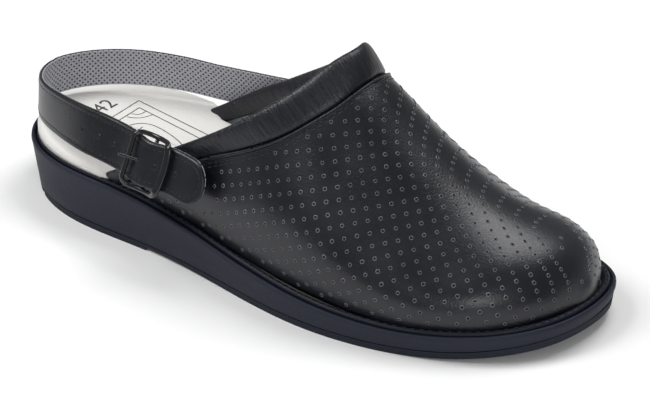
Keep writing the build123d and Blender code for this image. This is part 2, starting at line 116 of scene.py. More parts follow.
class SmoothLine:
    """A cubic spline through points, open or closed, spaced by chord length."""

    def __init__(self, points: np.ndarray, closed: bool = False) -> None:
        """Solves the spline.

        Args:
            points: one row per point.
            closed: whether the line comes back to its start.
        """
        p = np.asarray(points, float)
        if closed:
            p = np.vstack([p, p[:1]])
        h = np.linalg.norm(np.diff(p, axis=0), axis=1)
        self.knots = np.concatenate([[0], np.cumsum(h)])
        self.points = p
        n = len(p)
        a = np.zeros((n, n))
        b = np.zeros_like(p)
        chord = np.diff(p, axis=0) / h[:, None]
        for i in range(1, n - 1):
            a[i, i - 1: i + 2] = h[i], 2 * (h[i - 1] + h[i]), h[i - 1]
            b[i] = 3 * (h[i] * chord[i - 1] + h[i - 1] * chord[i])
        if closed:
            a[0, 0], a[0, -1] = 1, -1
            a[-1, 0], a[-1, 1] = 2 / h[0], 1 / h[0]
            a[-1, -1], a[-1, -2] = 2 / h[-1], 1 / h[-1]
            b[-1] = 3 * (chord[0] / h[0] + chord[-1] / h[-1])
        else:
            a[0, :2], b[0] = (2, 1), 3 * chord[0]
            a[-1, -2:], b[-1] = (1, 2), 3 * chord[-1]
        self.slopes = np.linalg.solve(a, b)

    def at(self, share: np.ndarray) -> np.ndarray:
        """Points at shares 0 to 1 of the line's parameter."""
        s = np.clip(np.asarray(share, float), 0, 1) * self.knots[-1]
        i = np.clip(np.searchsorted(self.knots, s, side="right") - 1, 0, len(self.knots) - 2)
        h = (self.knots[i + 1] - self.knots[i])[:, None]
        t = (s[:, None] - self.knots[i][:, None]) / h
        return (
            self.points[i] * (2 * t**3 - 3 * t**2 + 1) + self.slopes[i] * h * (t**3 - 2 * t**2 + t)
            + self.points[i + 1] * (3 * t**2 - 2 * t**3) + self.slopes[i + 1] * h * (t**3 - t**2)
        )

    def even(self, count: int, closed: bool = False) -> np.ndarray:
        """Points at equal steps along the line's true length.

        Args:
            count: how many points.
            closed: leave the last point out, because it is the first again.

        Returns:
            One row per point.
        """
        dense = self.at(np.linspace(0, 1, 3000))
        run = run_length(dense)
        goal = np.linspace(0, run[-1], count + 1)[:-1] if closed else np.linspace(0, run[-1], count)
        return np.stack([np.interp(goal, run, dense[:, k]) for k in range(dense.shape[1])], axis=1)


def run_length(points: np.ndarray) -> np.ndarray:
    """Distance along a row of points, from 0 at the first."""
    return np.concatenate([[0], np.cumsum(np.linalg.norm(np.diff(points, axis=0), axis=1))])


def unit(v: np.ndarray) -> np.ndarray:
    """Rows scaled to length 1."""
    return v / np.maximum(np.linalg.norm(v, axis=-1, keepdims=True), 1e-12)


def smooth_step(x: np.ndarray | float, low: float, high: float) -> np.ndarray:
    """0 below low, 1 above high, and a smooth rise between."""
    t = np.clip((np.asarray(x, float) - low) / (high - low), 0, 1)
    return t * t * (3 - 2 * t)


def to_frame(points: np.ndarray) -> np.ndarray:
    """Millimetres in the maker's axes to metres in the frame's axes."""
    return (np.asarray(points, float) - np.array(LAST_ORIGIN)) * MM


def make_mesh(
    name: str, points: np.ndarray, faces: Sequence[Sequence[int]], uv: np.ndarray | None = None,
    smooth: bool = True,
) -> bpy.types.Object:
    """A mesh object at the origin; its caller merges doubles and turns the faces where needed.

    Args:
        name: the piece's name.
        points: vertices in the maker's millimetres.
        faces: vertex numbers of each face.
        uv: one UV pair per vertex, or none.
        smooth: whether faces are shaded smooth.

    Returns:
        The new object.
    """
    mesh = bpy.data.meshes.new(name)
    mesh.from_pydata([tuple(p) for p in to_frame(points)], [], [tuple(f) for f in faces])
    if uv is not None:
        layer = mesh.uv_layers.new(name="UVMap")
        index = np.zeros(len(mesh.loops), int)
        mesh.loops.foreach_get("vertex_index", index)
        layer.data.foreach_set("uv", np.asarray(uv, np.float32)[index].ravel())
    mesh.polygons.foreach_set("use_smooth", [smooth] * len(mesh.polygons))
    mesh.update()
    obj = bpy.data.objects.new(name, mesh)
    bpy.context.scene.collection.objects.link(obj)
    return obj


def grid_faces(rows: int, cols: int, wrap: bool = False, flip: bool = False) -> list[tuple[int, ...]]:
    """Quads of a grid of points, row by row.

    Args:
        rows: how many rows.
        cols: how many points in a row.
        wrap: whether each row closes on itself.
        flip: turns the faces over.

    Returns:
        The faces.
    """
    faces = []
    for r in range(rows - 1):
        for c in range(cols if wrap else cols - 1):
            d = (c + 1) % cols
            quad = (r * cols + c, r * cols + d, (r + 1) * cols + d, (r + 1) * cols + c)
            faces.append(quad[::-1] if flip else quad)
    return faces


def point_outwards(obj: bpy.types.Object) -> None:
    """Recalculates the faces of a closed mesh so that they look outwards."""
    bm = bmesh.new()
    bm.from_mesh(obj.data)
    bmesh.ops.remove_doubles(bm, verts=bm.verts, dist=1e-6)
    bmesh.ops.recalc_face_normals(bm, faces=bm.faces)
    bm.to_mesh(obj.data)
    bm.free()
    obj.data.update()


def apply_modifiers(obj: bpy.types.Object) -> bpy.types.Object:
    """Turns the object's modifiers into plain mesh."""
    graph = bpy.context.evaluated_depsgraph_get()
    graph.update()
    mesh = bpy.data.meshes.new_from_object(obj.evaluated_get(graph))
    obj.modifiers.clear()
    obj.data = mesh
    return obj


def swept_tube(
    name: str, line: np.ndarray, ring: Callable[[float], np.ndarray], across: np.ndarray,
    rise: np.ndarray, closed: bool,
) -> bpy.types.Object:
    """A closed cross-section carried along a line.

    Args:
        name: the piece's name.
        line: the centre of each section.
        ring: for a share 0 to 1 along the line, the section's points as (across, rise) pairs.
        across: direction of the section's first axis at each centre.
        rise: direction of the second axis at each centre.
        closed: whether the line closes on itself.

    Returns:
        The tube, with capped ends where it is open and UVs in metres along and around.
    """
    count = len(line)
    run = run_length(line)
    rings, uvs = [], []
    for i in range(count):
        section = ring(i / (count if closed else count - 1))
        rings.append(line[i] + section[:, :1] * across[i] + section[:, 1:2] * rise[i])
        girth = run_length(section)
        uvs.append(np.stack([np.full(len(section), run[i]), girth], axis=1) * MM)
    size = len(rings[0])
    points, uv = np.vstack(rings), np.vstack(uvs)
    faces = grid_faces(count, size, wrap=True)
    if closed:
        last = (count - 1) * size
        faces += [(last + c, last + (c + 1) % size, (c + 1) % size, c) for c in range(size)]
    else:
        faces.append(tuple(range(size))[::-1])
        faces.append(tuple(range((count - 1) * size, count * size)))
    obj = make_mesh(name, points, faces, uv)
    point_outwards(obj)
    return obj


# ------------------------------------------------------------------ shader expressions
class Field:
    """A shader socket that adds Math nodes when it is used in an expression."""

    def __init__(self, shading: "Shading", socket: bpy.types.NodeSocket) -> None:
        """Wraps a socket of the material that shading builds."""
        self.shading = shading
        self.socket = socket

    def _math(self, operation: str, *values: "Field | float") -> "Field":
        """One Math node on these values."""
        return self.shading.add("ShaderNodeMath", {"operation": operation}, values)

    def __add__(self, other: "Field | float") -> "Field":
        """Sum."""
        return self._math("ADD", self, other)

    __radd__ = __add__

    def __sub__(self, other: "Field | float") -> "Field":
        """Difference."""
        return self._math("SUBTRACT", self, other)

    def __rsub__(self, other: "Field | float") -> "Field":
        """Difference with the number first."""
        return self._math("SUBTRACT", other, self)

    def __mul__(self, other: "Field | float") -> "Field":
        """Product."""
        return self._math("MULTIPLY", self, other)

    __rmul__ = __mul__

    def __truediv__(self, other: "Field | float") -> "Field":
        """Quotient."""
        return self._math("DIVIDE", self, other)

    def __gt__(self, other: "Field | float") -> "Field":
        """1 where this is greater."""
        return self._math("GREATER_THAN", self, other)

    def __lt__(self, other: "Field | float") -> "Field":
        """1 where this is less."""
        return self._math("LESS_THAN", self, other)

    def power(self, exponent: float) -> "Field":
        """This to a power."""
        return self._math("POWER", self, exponent)

    def fraction(self) -> "Field":
        """What is left after the whole number."""
        return self._math("FRACT", self)

    def sine(self) -> "Field":
        """Sine of this in radians."""
        return self._math("SINE", self)

    def root(self) -> "Field":
        """Square root."""
        return self._math("SQRT", self)

    def fade(self, low: float, high: float) -> "Field":
        """Smooth rise from 0 at low to 1 at high."""
        settings = {"interpolation_type": "SMOOTHSTEP"}
        values = {"Value": self, "From Min": low, "From Max": high}
        return self.shading.add("ShaderNodeMapRange", settings, values)


class Shading:
    """Builds one material's node tree."""

    def __init__(self, name: str) -> None:
        """Starts a material with its Principled shader.

        Args:
            name: the finish's name.
        """
        self.material = bpy.data.materials.new(name)
        self.material.use_nodes = True
        self.tree = self.material.node_tree
        self.shader = next(n for n in self.tree.nodes if n.type == "BSDF_PRINCIPLED")

    def add(
        self, kind: str, settings: dict | None = None, inputs: dict | Sequence | None = None,
        output: str | int = 0,
    ) -> Field:
        """Adds a node.

        Args:
            kind: the node's type.
            settings: attributes that are set first.
            inputs: values or links, by socket name or in order.
            output: the socket that is returned.

        Returns:
            The node's output.
        """
        node = self.tree.nodes.new(kind)
        for key, value in (settings or {}).items():
            setattr(node, key, value)
        pairs = inputs.items() if isinstance(inputs, dict) else enumerate(inputs or [])
        for key, value in pairs:
            if isinstance(value, Field):
                self.tree.links.new(value.socket, node.inputs[key])
            elif value is not None:
                node.inputs[key].default_value = value
        return Field(self, node.outputs[output])

    def place(self) -> Field:
        """Object coordinates."""
        return self.add("ShaderNodeTexCoord", output="Object")

    def surface(self) -> tuple[Field, Field]:
        """The piece's own UV map, in metres along and across."""
        uv = self.add("ShaderNodeUVMap", {"uv_map": "UVMap"})
        split = self.add("ShaderNodeSeparateXYZ", None, [uv])
        return split, Field(self, split.socket.node.outputs[1])

    def noise(self, where: Field, scale: float, detail: float = 3.0, roughness: float = 0.55) -> Field:
        """Noise around one half."""
        values = {"Vector": where, "Scale": scale, "Detail": detail, "Roughness": roughness}
        return self.add("ShaderNodeTexNoise", None, values)

    def cells(self, where: Field, scale: float, feature: str = "F1") -> Field:
        """Distance field of a cell pattern."""
        values = {"Vector": where, "Scale": scale}
        return self.add("ShaderNodeTexVoronoi", {"feature": feature}, values, "Distance")

    def stretched(self, where: Field, scale: tuple[float, float, float]) -> Field:
        """Coordinates scaled differently along each axis."""
        return self.add("ShaderNodeMapping", None, {"Vector": where, "Scale": scale})

    def blend(self, factor: Field, low: Sequence[float], high: Sequence[float] | Field) -> Field:
        """Colour between two colours."""
        top = high if isinstance(high, Field) else (*high, 1.0)
        node = self.add("ShaderNodeMix", {"data_type": "RGBA"}, None, 2)
        mix = node.socket.node
        self.tree.links.new(factor.socket, mix.inputs[0])
        for socket, value in ((mix.inputs[6], low), (mix.inputs[7], top)):
            if isinstance(value, Field):
                self.tree.links.new(value.socket, socket)
            else:
                socket.default_value = (*value[:3], 1.0)
        return node

    def dots(self, u: Field, v: Field, pitch: float, radius: float, stagger: bool = False) -> Field:
        """1 inside round dots on a square lattice, 0 outside.

        Args:
            u: place along, metres.
            v: place across, metres.
            pitch: lattice step, metres.
            radius: dot radius, metres.
            stagger: adds a second lattice in the middle of the first.

        Returns:
            The mask.
        """
        def lattice(shift: float) -> Field:
            x = ((u / pitch + shift).fraction() - 0.5) * pitch
            y = ((v / pitch + shift).fraction() - 0.5) * pitch
            return 1 - (x * x + y * y).root().fade(radius * 0.8, radius * 1.15)

        mask = lattice(0.0)
        return mask + lattice(0.5) if stagger else mask

    def finish(
        self, colour: Field | Sequence[float], roughness: Field | float, height: Field | None = None,
        depth: float = 0.0003, **constants: float | Sequence[float],
    ) -> bpy.types.Material:
        """Feeds the shader.

        Args:
            colour: base colour.
            roughness: roughness.
            height: bump height, 0 to 1.
            depth: metres that a height of 1 stands for.
            constants: other sockets by name, with underscores for spaces.

        Returns:
            The material.
        """
        for name, value in (("Base Color", colour), ("Roughness", roughness)):
            if isinstance(value, Field):
                self.tree.links.new(value.socket, self.shader.inputs[name])
            else:
                self.shader.inputs[name].default_value = (*value, 1.0) if name == "Base Color" else value
        for name, value in constants.items():
            self.shader.inputs[name.replace("_", " ")].default_value = value
        if height is not None:
            bump = self.add("ShaderNodeBump", None, {"Height": height, "Strength": 1.0, "Distance": depth})
            self.tree.links.new(bump.socket, self.shader.inputs["Normal"])
        return self.material


# ------------------------------------------------------------------ finishes
@dataclass(frozen=True)
class SmoothLeather:
    """Aniline-dyed navy upper leather with a fine pebble and soft cloudy shine."""

    name: str = "navy_leather"
    dark: tuple[float, float, float] = (0.0022, 0.0026, 0.0052)
    light: tuple[float, float, float] = (0.0075, 0.0085, 0.0145)
    gloss: float = 0.33

    def build(self) -> bpy.types.Material:
        """Makes the material."""
        s = Shading(self.name)
        where = s.place()
        cloud = s.noise(where, 38.0, 4.0)
        pebble = s.cells(where, 1300.0, "SMOOTH_F1")
        pores = s.noise(where, 900.0, 2.0)
        height = pebble * 0.7 + pores * 0.3 + cloud * 0.5
        colour = s.blend(cloud.fade(0.3, 0.75) * 0.8 + pebble * 0.25, self.dark, self.light)
        rough = cloud * 0.22 + pores * 0.12 + (self.gloss - 0.17)
        return s.finish(colour, rough, height, 0.00009, Specular_IOR_Level=0.52)


@dataclass(frozen=True)
class CreasedLeather:
    """Softer collar leather, gathered into fine wrinkles that run across the roll, with painted shade in the
    wrinkles' troughs and a painted highlight on their crests.
    """

    name: str = "collar_leather"
    # dark is the painted shade in the wrinkles' troughs, light the painted highlight on their crests
    dark: tuple[float, float, float] = (0.0022, 0.0026, 0.0052)
    light: tuple[float, float, float] = (0.0085, 0.0095, 0.0160)

    def build(self) -> bpy.types.Material:
        """Makes the material."""
        s = Shading(self.name)
        uv = s.add("ShaderNodeUVMap", {"uv_map": "UVMap"})
        wrinkle_and_shade = s.noise(s.stretched(uv, (780.0, 75.0, 1.0)), 1.0, 3.0, 0.6)
        fold = s.noise(s.stretched(uv, (250.0, 38.0, 1.0)), 1.0, 2.0)
        pebble = s.cells(s.place(), 1500.0, "SMOOTH_F1")
        height = wrinkle_and_shade * 0.55 + fold * 0.6 + pebble * 0.12
        # painted shade and highlight: the colour follows the wrinkle relief, darker in the troughs and
        # lighter on the crests
        colour = s.blend(wrinkle_and_shade.fade(0.35, 0.72), self.dark, self.light)
        return s.finish(colour, wrinkle_and_shade * 0.2 + 0.28, height, 0.0007, Specular_IOR_Level=0.48)


@dataclass(frozen=True)
class DottedLining:
    """Pale lining leather with small punched holes, their insides painted near-black as shade."""

    name: str
    face: tuple[float, float, float]
    pitch: float
    radius: float
    stagger: bool = False
    turned: bool = False

    def build(self) -> bpy.types.Material:
        """Makes the material."""
        s = Shading(self.name)
        u, v = s.surface()
        if self.turned:
            u, v = (u + v) * math.sqrt(0.5), (u - v) * math.sqrt(0.5)
        holes = s.dots(u, v, self.pitch, self.radius, self.stagger)
        nap = s.noise(s.place(), 700.0, 3.0)
        nap_tone = s.blend(nap.fade(0.2, 0.8), tuple(0.86 * c for c in self.face), self.face)
        # painted shade: the punched holes are painted near-black, standing in for the shade inside them
        colour = s.blend(holes, nap_tone, (0.02, 0.02, 0.025))
        return s.finish(colour, 0.75, nap * 0.4 - holes, 0.0003)


@dataclass(frozen=True)
class MouldedFoam:
    """Matt polyurethane skin with the fine mottling of a mould."""

    name: str
    dark: tuple[float, float, float]
    light: tuple[float, float, float]
    rough: float = 0.62
    grain: float = 420.0

    def build(self) -> bpy.types.Material:
        """Makes the material."""
        s = Shading(self.name)
        where = s.place()
        cloud = s.noise(where, 22.0, 5.0, 0.6)
        speck = s.noise(where, self.grain, 4.0, 0.7)
        colour = s.blend(cloud * 0.5 + speck * 0.5, self.dark, self.light)
        return s.finish(colour, speck * 0.2 + (self.rough - 0.1), speck, 0.00022, Specular_IOR_Level=0.3)


@dataclass(frozen=True)
class FootbedSkin:
    """Smooth cream footbed covering, faintly fibrous."""

    name: str = "footbed_skin"

    def build(self) -> bpy.types.Material:
        """Makes the material."""
        s = Shading(self.name)
        where = s.place()
        fibre = s.noise(where, 900.0, 4.0, 0.7)
        cloud = s.noise(where, 18.0, 3.0)
        colour = s.blend(fibre * 0.5 + cloud * 0.5, (0.68, 0.67, 0.64), (0.79, 0.78, 0.75))
        return s.finish(colour, fibre * 0.15 + 0.5, fibre, 0.00006)


@dataclass(frozen=True)
class Lacquer:
    """Black stoved lacquer on the die-cast buckle."""

    name: str = "buckle_lacquer"

    def build(self) -> bpy.types.Material:
        """Makes the material."""
        s = Shading(self.name)
        ripple = s.noise(s.place(), 320.0, 2.0)
        colour = s.blend(ripple, (0.006, 0.006, 0.008), (0.016, 0.016, 0.02))
        rough = ripple * 0.1 + 0.12
        return s.finish(colour, rough, ripple, 0.00005, Specular_IOR_Level=0.4, Coat_Weight=0.25)


@dataclass(frozen=True)
class BrightSteel:
    """Tumbled bright steel with fine drawing marks."""

    name: str = "bright_steel"
    tone: tuple[float, float, float] = (0.55, 0.56, 0.58)

    def build(self) -> bpy.types.Material:
        """Makes the material."""
        s = Shading(self.name)
        marks = s.noise(s.stretched(s.place(), (200.0, 2600.0, 2600.0)), 1.0, 2.0)
        colour = s.blend(marks, tuple(0.8 * c for c in self.tone), self.tone)
        return s.finish(colour, marks * 0.2 + 0.22, marks, 0.00003, Metallic=1.0)


@dataclass(frozen=True)
class Plain:
    """A matt finish with a little grain: thread, ink, board, foam, and the painted shade inside a hole."""

    name: str
    tone: tuple[float, float, float]
    rough: float = 0.8
    grain: float = 1200.0

    def build(self) -> bpy.types.Material:
        """Makes the material."""
        s = Shading(self.name)
        speck = s.noise(s.place(), self.grain, 2.0)
        colour = s.blend(speck, tuple(0.75 * c for c in self.tone), self.tone)
        return s.finish(colour, speck * 0.1 + (self.rough - 0.05), speck, 0.00008)


@dataclass
class Finishes:
    """Every material of the clog, made once."""

    leather: bpy.types.Material = field(init=False)

    def __post_init__(self) -> None:
        """Makes the materials."""
        self.leather = SmoothLeather().build()
        self.strap_leather = SmoothLeather(
            "strap_leather", (0.0026, 0.0030, 0.0055), (0.0085, 0.0095, 0.0150), 0.34).build()
        # painted highlight: the raised leather round each punched hole gets a far lighter tone than the navy
        # vamp
        self.lip_highlight = SmoothLeather("punched_lip_highlight", (0.045, 0.047, 0.056), (0.12, 0.125, 0.145), 0.28).build()
        self.collar = CreasedLeather().build()
        self.lining = DottedLining("lining_leather", (0.50, 0.56, 0.64), 0.0054, 0.0007, turned=True).build()
        self.strap_lining = DottedLining(
            "strap_lining_leather", (0.42, 0.42, 0.46), 0.0026, 0.00042, stagger=True).build()
        self.wedge = MouldedFoam("sole_foam", (0.0070, 0.0090, 0.0190), (0.0150, 0.0185, 0.0340)).build()
        self.tread = MouldedFoam(
            "sole_rubber", (0.0060, 0.0075, 0.0160), (0.0120, 0.0150, 0.0280), 0.7).build()
        self.bead = MouldedFoam(
            "welt", (0.0040, 0.0055, 0.0130), (0.0100, 0.0130, 0.0260), 0.5, 700.0).build()
        self.footbed = FootbedSkin().build()
        self.core = MouldedFoam("footbed_foam", (0.66, 0.64, 0.58), (0.78, 0.76, 0.70), 0.85).build()
        self.lacquer = Lacquer().build()
        self.steel = BrightSteel().build()
        self.shank = BrightSteel("shank", (0.42, 0.43, 0.45)).build()
        self.thread = Plain("thread", (0.016, 0.018, 0.028), 0.6, 3000.0).build()
        # painted shade: near-black for the inside of punched holes, standing in for the shade a real hole
        # holds
        self.hole = Plain("hole_painted_shade", (0.004, 0.004, 0.006), 0.9).build()
        self.ink = Plain("print_ink", (0.05, 0.05, 0.055), 0.7).build()
        self.board = Plain("board", (0.42, 0.36, 0.28)).build()
        self.puff = Plain("stiffener", (0.48, 0.44, 0.37)).build()


def dress(obj: bpy.types.Object, *materials: bpy.types.Material) -> bpy.types.Object:
    """Gives a piece its materials in place of any it had."""
    obj.data.materials.clear()
    for material in materials:
        obj.data.materials.append(material)
    return obj


# ------------------------------------------------------------------ repeating details by Geometry Nodes
class Scatter:
    """A Geometry Nodes tree that sets copies of small shapes on a surface or along a line."""

    def __init__(self, name: str) -> None:
        """Starts the tree with a geometry input and output."""
        self.tree = bpy.data.node_groups.new(name, "GeometryNodeTree")
        self.tree.interface.new_socket("Geometry", in_out="INPUT", socket_type="NodeSocketGeometry")
        self.tree.interface.new_socket("Geometry", in_out="OUTPUT", socket_type="NodeSocketGeometry")
        self.source = self.tree.nodes.new("NodeGroupInput")
        self.result = self.tree.nodes.new("NodeGroupOutput")
        self.values: dict[str, object] = {}

    def size(self, name: str, kind: str, value: object) -> bpy.types.NodeSocket:
        """A named input of the tree.

        Args:
            name: what the input is called.
            kind: Float, Int, Object or Material.
            value: what this piece sets it to.

        Returns:
            The socket inside the tree.
        """
        item = self.tree.interface.new_socket(name, in_out="INPUT", socket_type="NodeSocket" + kind)
        self.values[item.identifier] = value
        return self.source.outputs[name]

    @staticmethod
    def out(node: bpy.types.Node, name: str) -> bpy.types.NodeSocket:
        """The node's output of that name that is switched on."""
        return next(o for o in node.outputs if o.name == name and o.enabled)

    def add(self, kind: str, settings: dict | None = None, **inputs: object) -> bpy.types.Node:
        """A node with its settings, then its values or links by socket name with underscores."""
        node = self.tree.nodes.new(kind)
        for key, value in (settings or {}).items():
            setattr(node, key, value)
        for key, value in inputs.items():
            name = key.replace("_", " ")
            socket = next(i for i in node.inputs if i.name == name and i.enabled)
            if isinstance(value, bpy.types.NodeSocket):
                self.tree.links.new(value, socket)
            else:
                socket.default_value = value
        return node

    def run(self, name: str, mesh: bpy.types.Mesh, last: bpy.types.NodeSocket) -> bpy.types.Object:
        """Runs the tree on a mesh.

        Args:
            name: the new piece's name.
            mesh: the geometry it starts from.
            last: the geometry that the tree gives.

        Returns:
            The plain mesh piece.
        """
        self.tree.links.new(last, self.result.inputs[0])
        carrier = bpy.data.objects.new(name, mesh)
        bpy.context.scene.collection.objects.link(carrier)
        modifier = carrier.modifiers.new("scatter", "NODES")
        modifier.node_group = self.tree
        for identifier, value in self.values.items():
            modifier[identifier] = value
        return apply_modifiers(carrier)


@dataclass
class Punching:
    """The square lattice of punched holes in the vamp, turned to the shoe's length."""

    pitch: float = 5.4
    turn_degrees: float = 28.0
    ring_radius: float = 1.0
    hole_radius: float = 0.58
    ring_height: float = 0.22
    seed: int = 7

    def ring(self) -> bpy.types.Object:
        """The raised rim of leather round one hole, a few dozen faces; Upper.build gives it the lighter
        finish that paints a highlight on it.
        """
        profile = [(1.0, -0.12), (0.86, 0.55), (0.70, 1.0), (0.58, 0.7), (0.56, 0.05)]
        turns = 10
        points = []
        for r, h in profile:
            for k in range(turns):
                angle = 2 * math.pi * k / turns
                radius = r * self.ring_radius
                points.append((radius * math.cos(angle), radius * math.sin(angle), h * self.ring_height))
        points = np.array(points) + np.array(LAST_ORIGIN)
        return make_mesh("punched_lip_shape", points, grid_faces(len(profile), turns, wrap=True))

    def spot(self, radius: float, height: float) -> bpy.types.Object:
        """Painted shade for one hole: a small dark disc just above the leather."""
        turns = 10
        angle = np.linspace(0, 2 * math.pi, turns, endpoint=False)
        rim = np.stack([radius * np.cos(angle), radius * np.sin(angle), np.full(turns, height)], axis=1)
        return make_mesh("punched_spot_shape", rim + np.array(LAST_ORIGIN), [tuple(range(turns))])

    def lay(
        self, name: str, surface: bpy.types.Object, keep: str, shapes: Sequence[tuple],
    ) -> bpy.types.Object:
        """Sets the shapes on the lattice points that fall on a surface.

        Args:
            name: the piece's name.
            surface: a mesh with UVs in metres and a 0 to 1 point attribute that allows holes.
            keep: that attribute's name.
            shapes: pairs of a shape and its material.

        Returns:
            The new piece.
        """
        t = Scatter(name + "_tree")
        pitch = t.size("Pitch", "Float", self.pitch * MM)
        reach = t.size("Reach", "Float", 0.42)
        seed = t.size("Seed", "Int", self.seed)
        position = t.add("GeometryNodeInputPosition")
        count = t.add("ShaderNodeMath", {"operation": "DIVIDE"})
        t.tree.links.new(reach, count.inputs[0])
        t.tree.links.new(pitch, count.inputs[1])
        grid = t.add("GeometryNodeMeshGrid", Size_X=reach, Size_Y=reach,
                     Vertices_X=count.outputs[0], Vertices_Y=count.outputs[0])
        turned = t.add("GeometryNodeTransform", Geometry=grid.outputs["Mesh"],
                       Rotation=(0.0, 0.0, math.radians(self.turn_degrees)), Translation=(0.0, 0.08, 0.0))
        uv = t.add("GeometryNodeInputNamedAttribute", {"data_type": "FLOAT_VECTOR"}, Name="UVMap")
        normal = t.add("GeometryNodeInputNormal")
        allowed = t.add("GeometryNodeInputNamedAttribute", {"data_type": "FLOAT"}, Name=keep)
        samples = {}
        for key, kind, value in (("place", "FLOAT_VECTOR", position.outputs[0]),
                                 ("normal", "FLOAT_VECTOR", normal.outputs[0]),
                                 ("allowed", "FLOAT", allowed.outputs[0])):
            samples[key] = t.add(
                "GeometryNodeSampleUVSurface", {"data_type": kind}, Mesh=t.source.outputs["Geometry"],
                Value=value, UV_Map=uv.outputs[0], Sample_UV=position.outputs[0])
        cloud = t.add("GeometryNodeMeshToPoints", Mesh=turned.outputs[0])
        capture = t.add("GeometryNodeCaptureAttribute", Geometry=cloud.outputs[0])
        capture.capture_items.new("VECTOR", "place")
        capture.capture_items.new("VECTOR", "normal")
        capture.capture_items.new("FLOAT", "allowed")
        for i, key in enumerate(("place", "normal", "allowed")):
            t.tree.links.new(t.out(samples[key], "Value"), capture.inputs[i + 1])
        valid = t.add("ShaderNodeMath", {"operation": "MULTIPLY"})
        t.tree.links.new(t.out(samples["place"], "Is Valid"), valid.inputs[0])
        t.tree.links.new(t.out(samples["allowed"], "Value"), valid.inputs[1])
        flag = t.add("FunctionNodeCompare", {"operation": "LESS_THAN"}, A=valid.outputs[0], B=0.5)
        kept = t.add("GeometryNodeDeleteGeometry", Geometry=capture.outputs[0], Selection=flag.outputs[0])
        moved = t.add("GeometryNodeSetPosition", Geometry=kept.outputs[0], Position=capture.outputs[1])
        facing = t.add("FunctionNodeAlignRotationToVector", {"axis": "Z"}, Vector=capture.outputs[2])
        size = t.add("FunctionNodeRandomValue", {"data_type": "FLOAT"}, Min=0.92, Max=1.08, Seed=seed)
        join = t.add("GeometryNodeJoinGeometry")
        for number, (shape, material) in enumerate(shapes):
            info = t.add("GeometryNodeObjectInfo", Object=t.size(f"Shape {number}", "Object", shape))
            copies = t.add("GeometryNodeInstanceOnPoints", Points=moved.outputs[0],
                           Instance=info.outputs["Geometry"], Rotation=facing.outputs[0],
                           Scale=t.out(size, "Value"))
            plain = t.add("GeometryNodeRealizeInstances", Geometry=copies.outputs[0])
            finish = t.size(f"Finish {number}", "Material", material)
            made = t.add("GeometryNodeSetMaterial", Geometry=plain.outputs[0], Material=finish)
            t.tree.links.new(made.outputs[0], join.inputs[0])
        obj = t.run(name, surface.data.copy(), join.outputs[0])
        for shape, _ in shapes:
            bpy.data.objects.remove(shape)
        return obj


@dataclass
class Stitching:
    """A row of stitches along a line: each a short rounded bead of thread."""

    length: float = 2.0
    gap: float = 1.0
    thickness: float = 0.5
    seed: int = 3

    def bead(self) -> bpy.types.Object:
        """One stitch, a few dozen faces."""
        rings, sides = 5, 6
        points = []
        for i in range(rings):
            share = i / (rings - 1) * 2 - 1
            girth = math.sqrt(max(1 - share**4, 0.04)) * self.thickness / 2
            for k in range(sides):
                angle = 2 * math.pi * k / sides
                points.append((share * self.length / 2, girth * math.cos(angle), girth * math.sin(angle)))
        faces = grid_faces(rings, sides, wrap=True)
        faces += [tuple(range(sides))[::-1], tuple(range((rings - 1) * sides, rings * sides))]
        obj = make_mesh("stitch_shape", np.array(points) + np.array(LAST_ORIGIN), faces)
        point_outwards(obj)
        return obj

    def sew(self, name: str, lines: Sequence[np.ndarray], material: bpy.types.Material) -> bpy.types.Object:
        """Lays stitches along lines.

        Args:
            name: the piece's name.
            lines: rows of points in the maker's millimetres.
            material: the thread.

        Returns:
            The new piece.
        """
        points, edges = [], []
        for line in lines:
            start = len(points)
            points += [tuple(p) for p in to_frame(line)]
            edges += [(start + i, start + i + 1) for i in range(len(line) - 1)]
        mesh = bpy.data.meshes.new(name)
        mesh.from_pydata(points, edges, [])
        shape = self.bead()
        t = Scatter(name + "_tree")
        step = t.size("Stitch Step", "Float", (self.length + self.gap) * MM)
        seed = t.size("Seed", "Int", self.seed)
        thread = t.size("Thread", "Material", material)
        curve = t.add("GeometryNodeMeshToCurve", Mesh=t.source.outputs["Geometry"])
        even = t.add("GeometryNodeResampleCurve", {"mode": "LENGTH"}, Curve=curve.outputs[0], Length=step)
        along = t.add("GeometryNodeInputTangent")
        facing = t.add("FunctionNodeAlignRotationToVector", {"axis": "X"}, Vector=along.outputs[0])
        size = t.add("FunctionNodeRandomValue", {"data_type": "FLOAT"}, Min=0.9, Max=1.06, Seed=seed)
        info = t.add("GeometryNodeObjectInfo", Object=t.size("Stitch", "Object", shape))
        copies = t.add(
            "GeometryNodeInstanceOnPoints", Points=even.outputs[0], Instance=info.outputs["Geometry"],
            Rotation=facing.outputs[0], Scale=t.out(size, "Value"))
        plain = t.add("GeometryNodeRealizeInstances", Geometry=copies.outputs[0])
        made = t.add("GeometryNodeSetMaterial", Geometry=plain.outputs[0], Material=thread)
        obj = t.run(name, mesh, made.outputs[0])
        bpy.data.objects.remove(shape)
        return obj


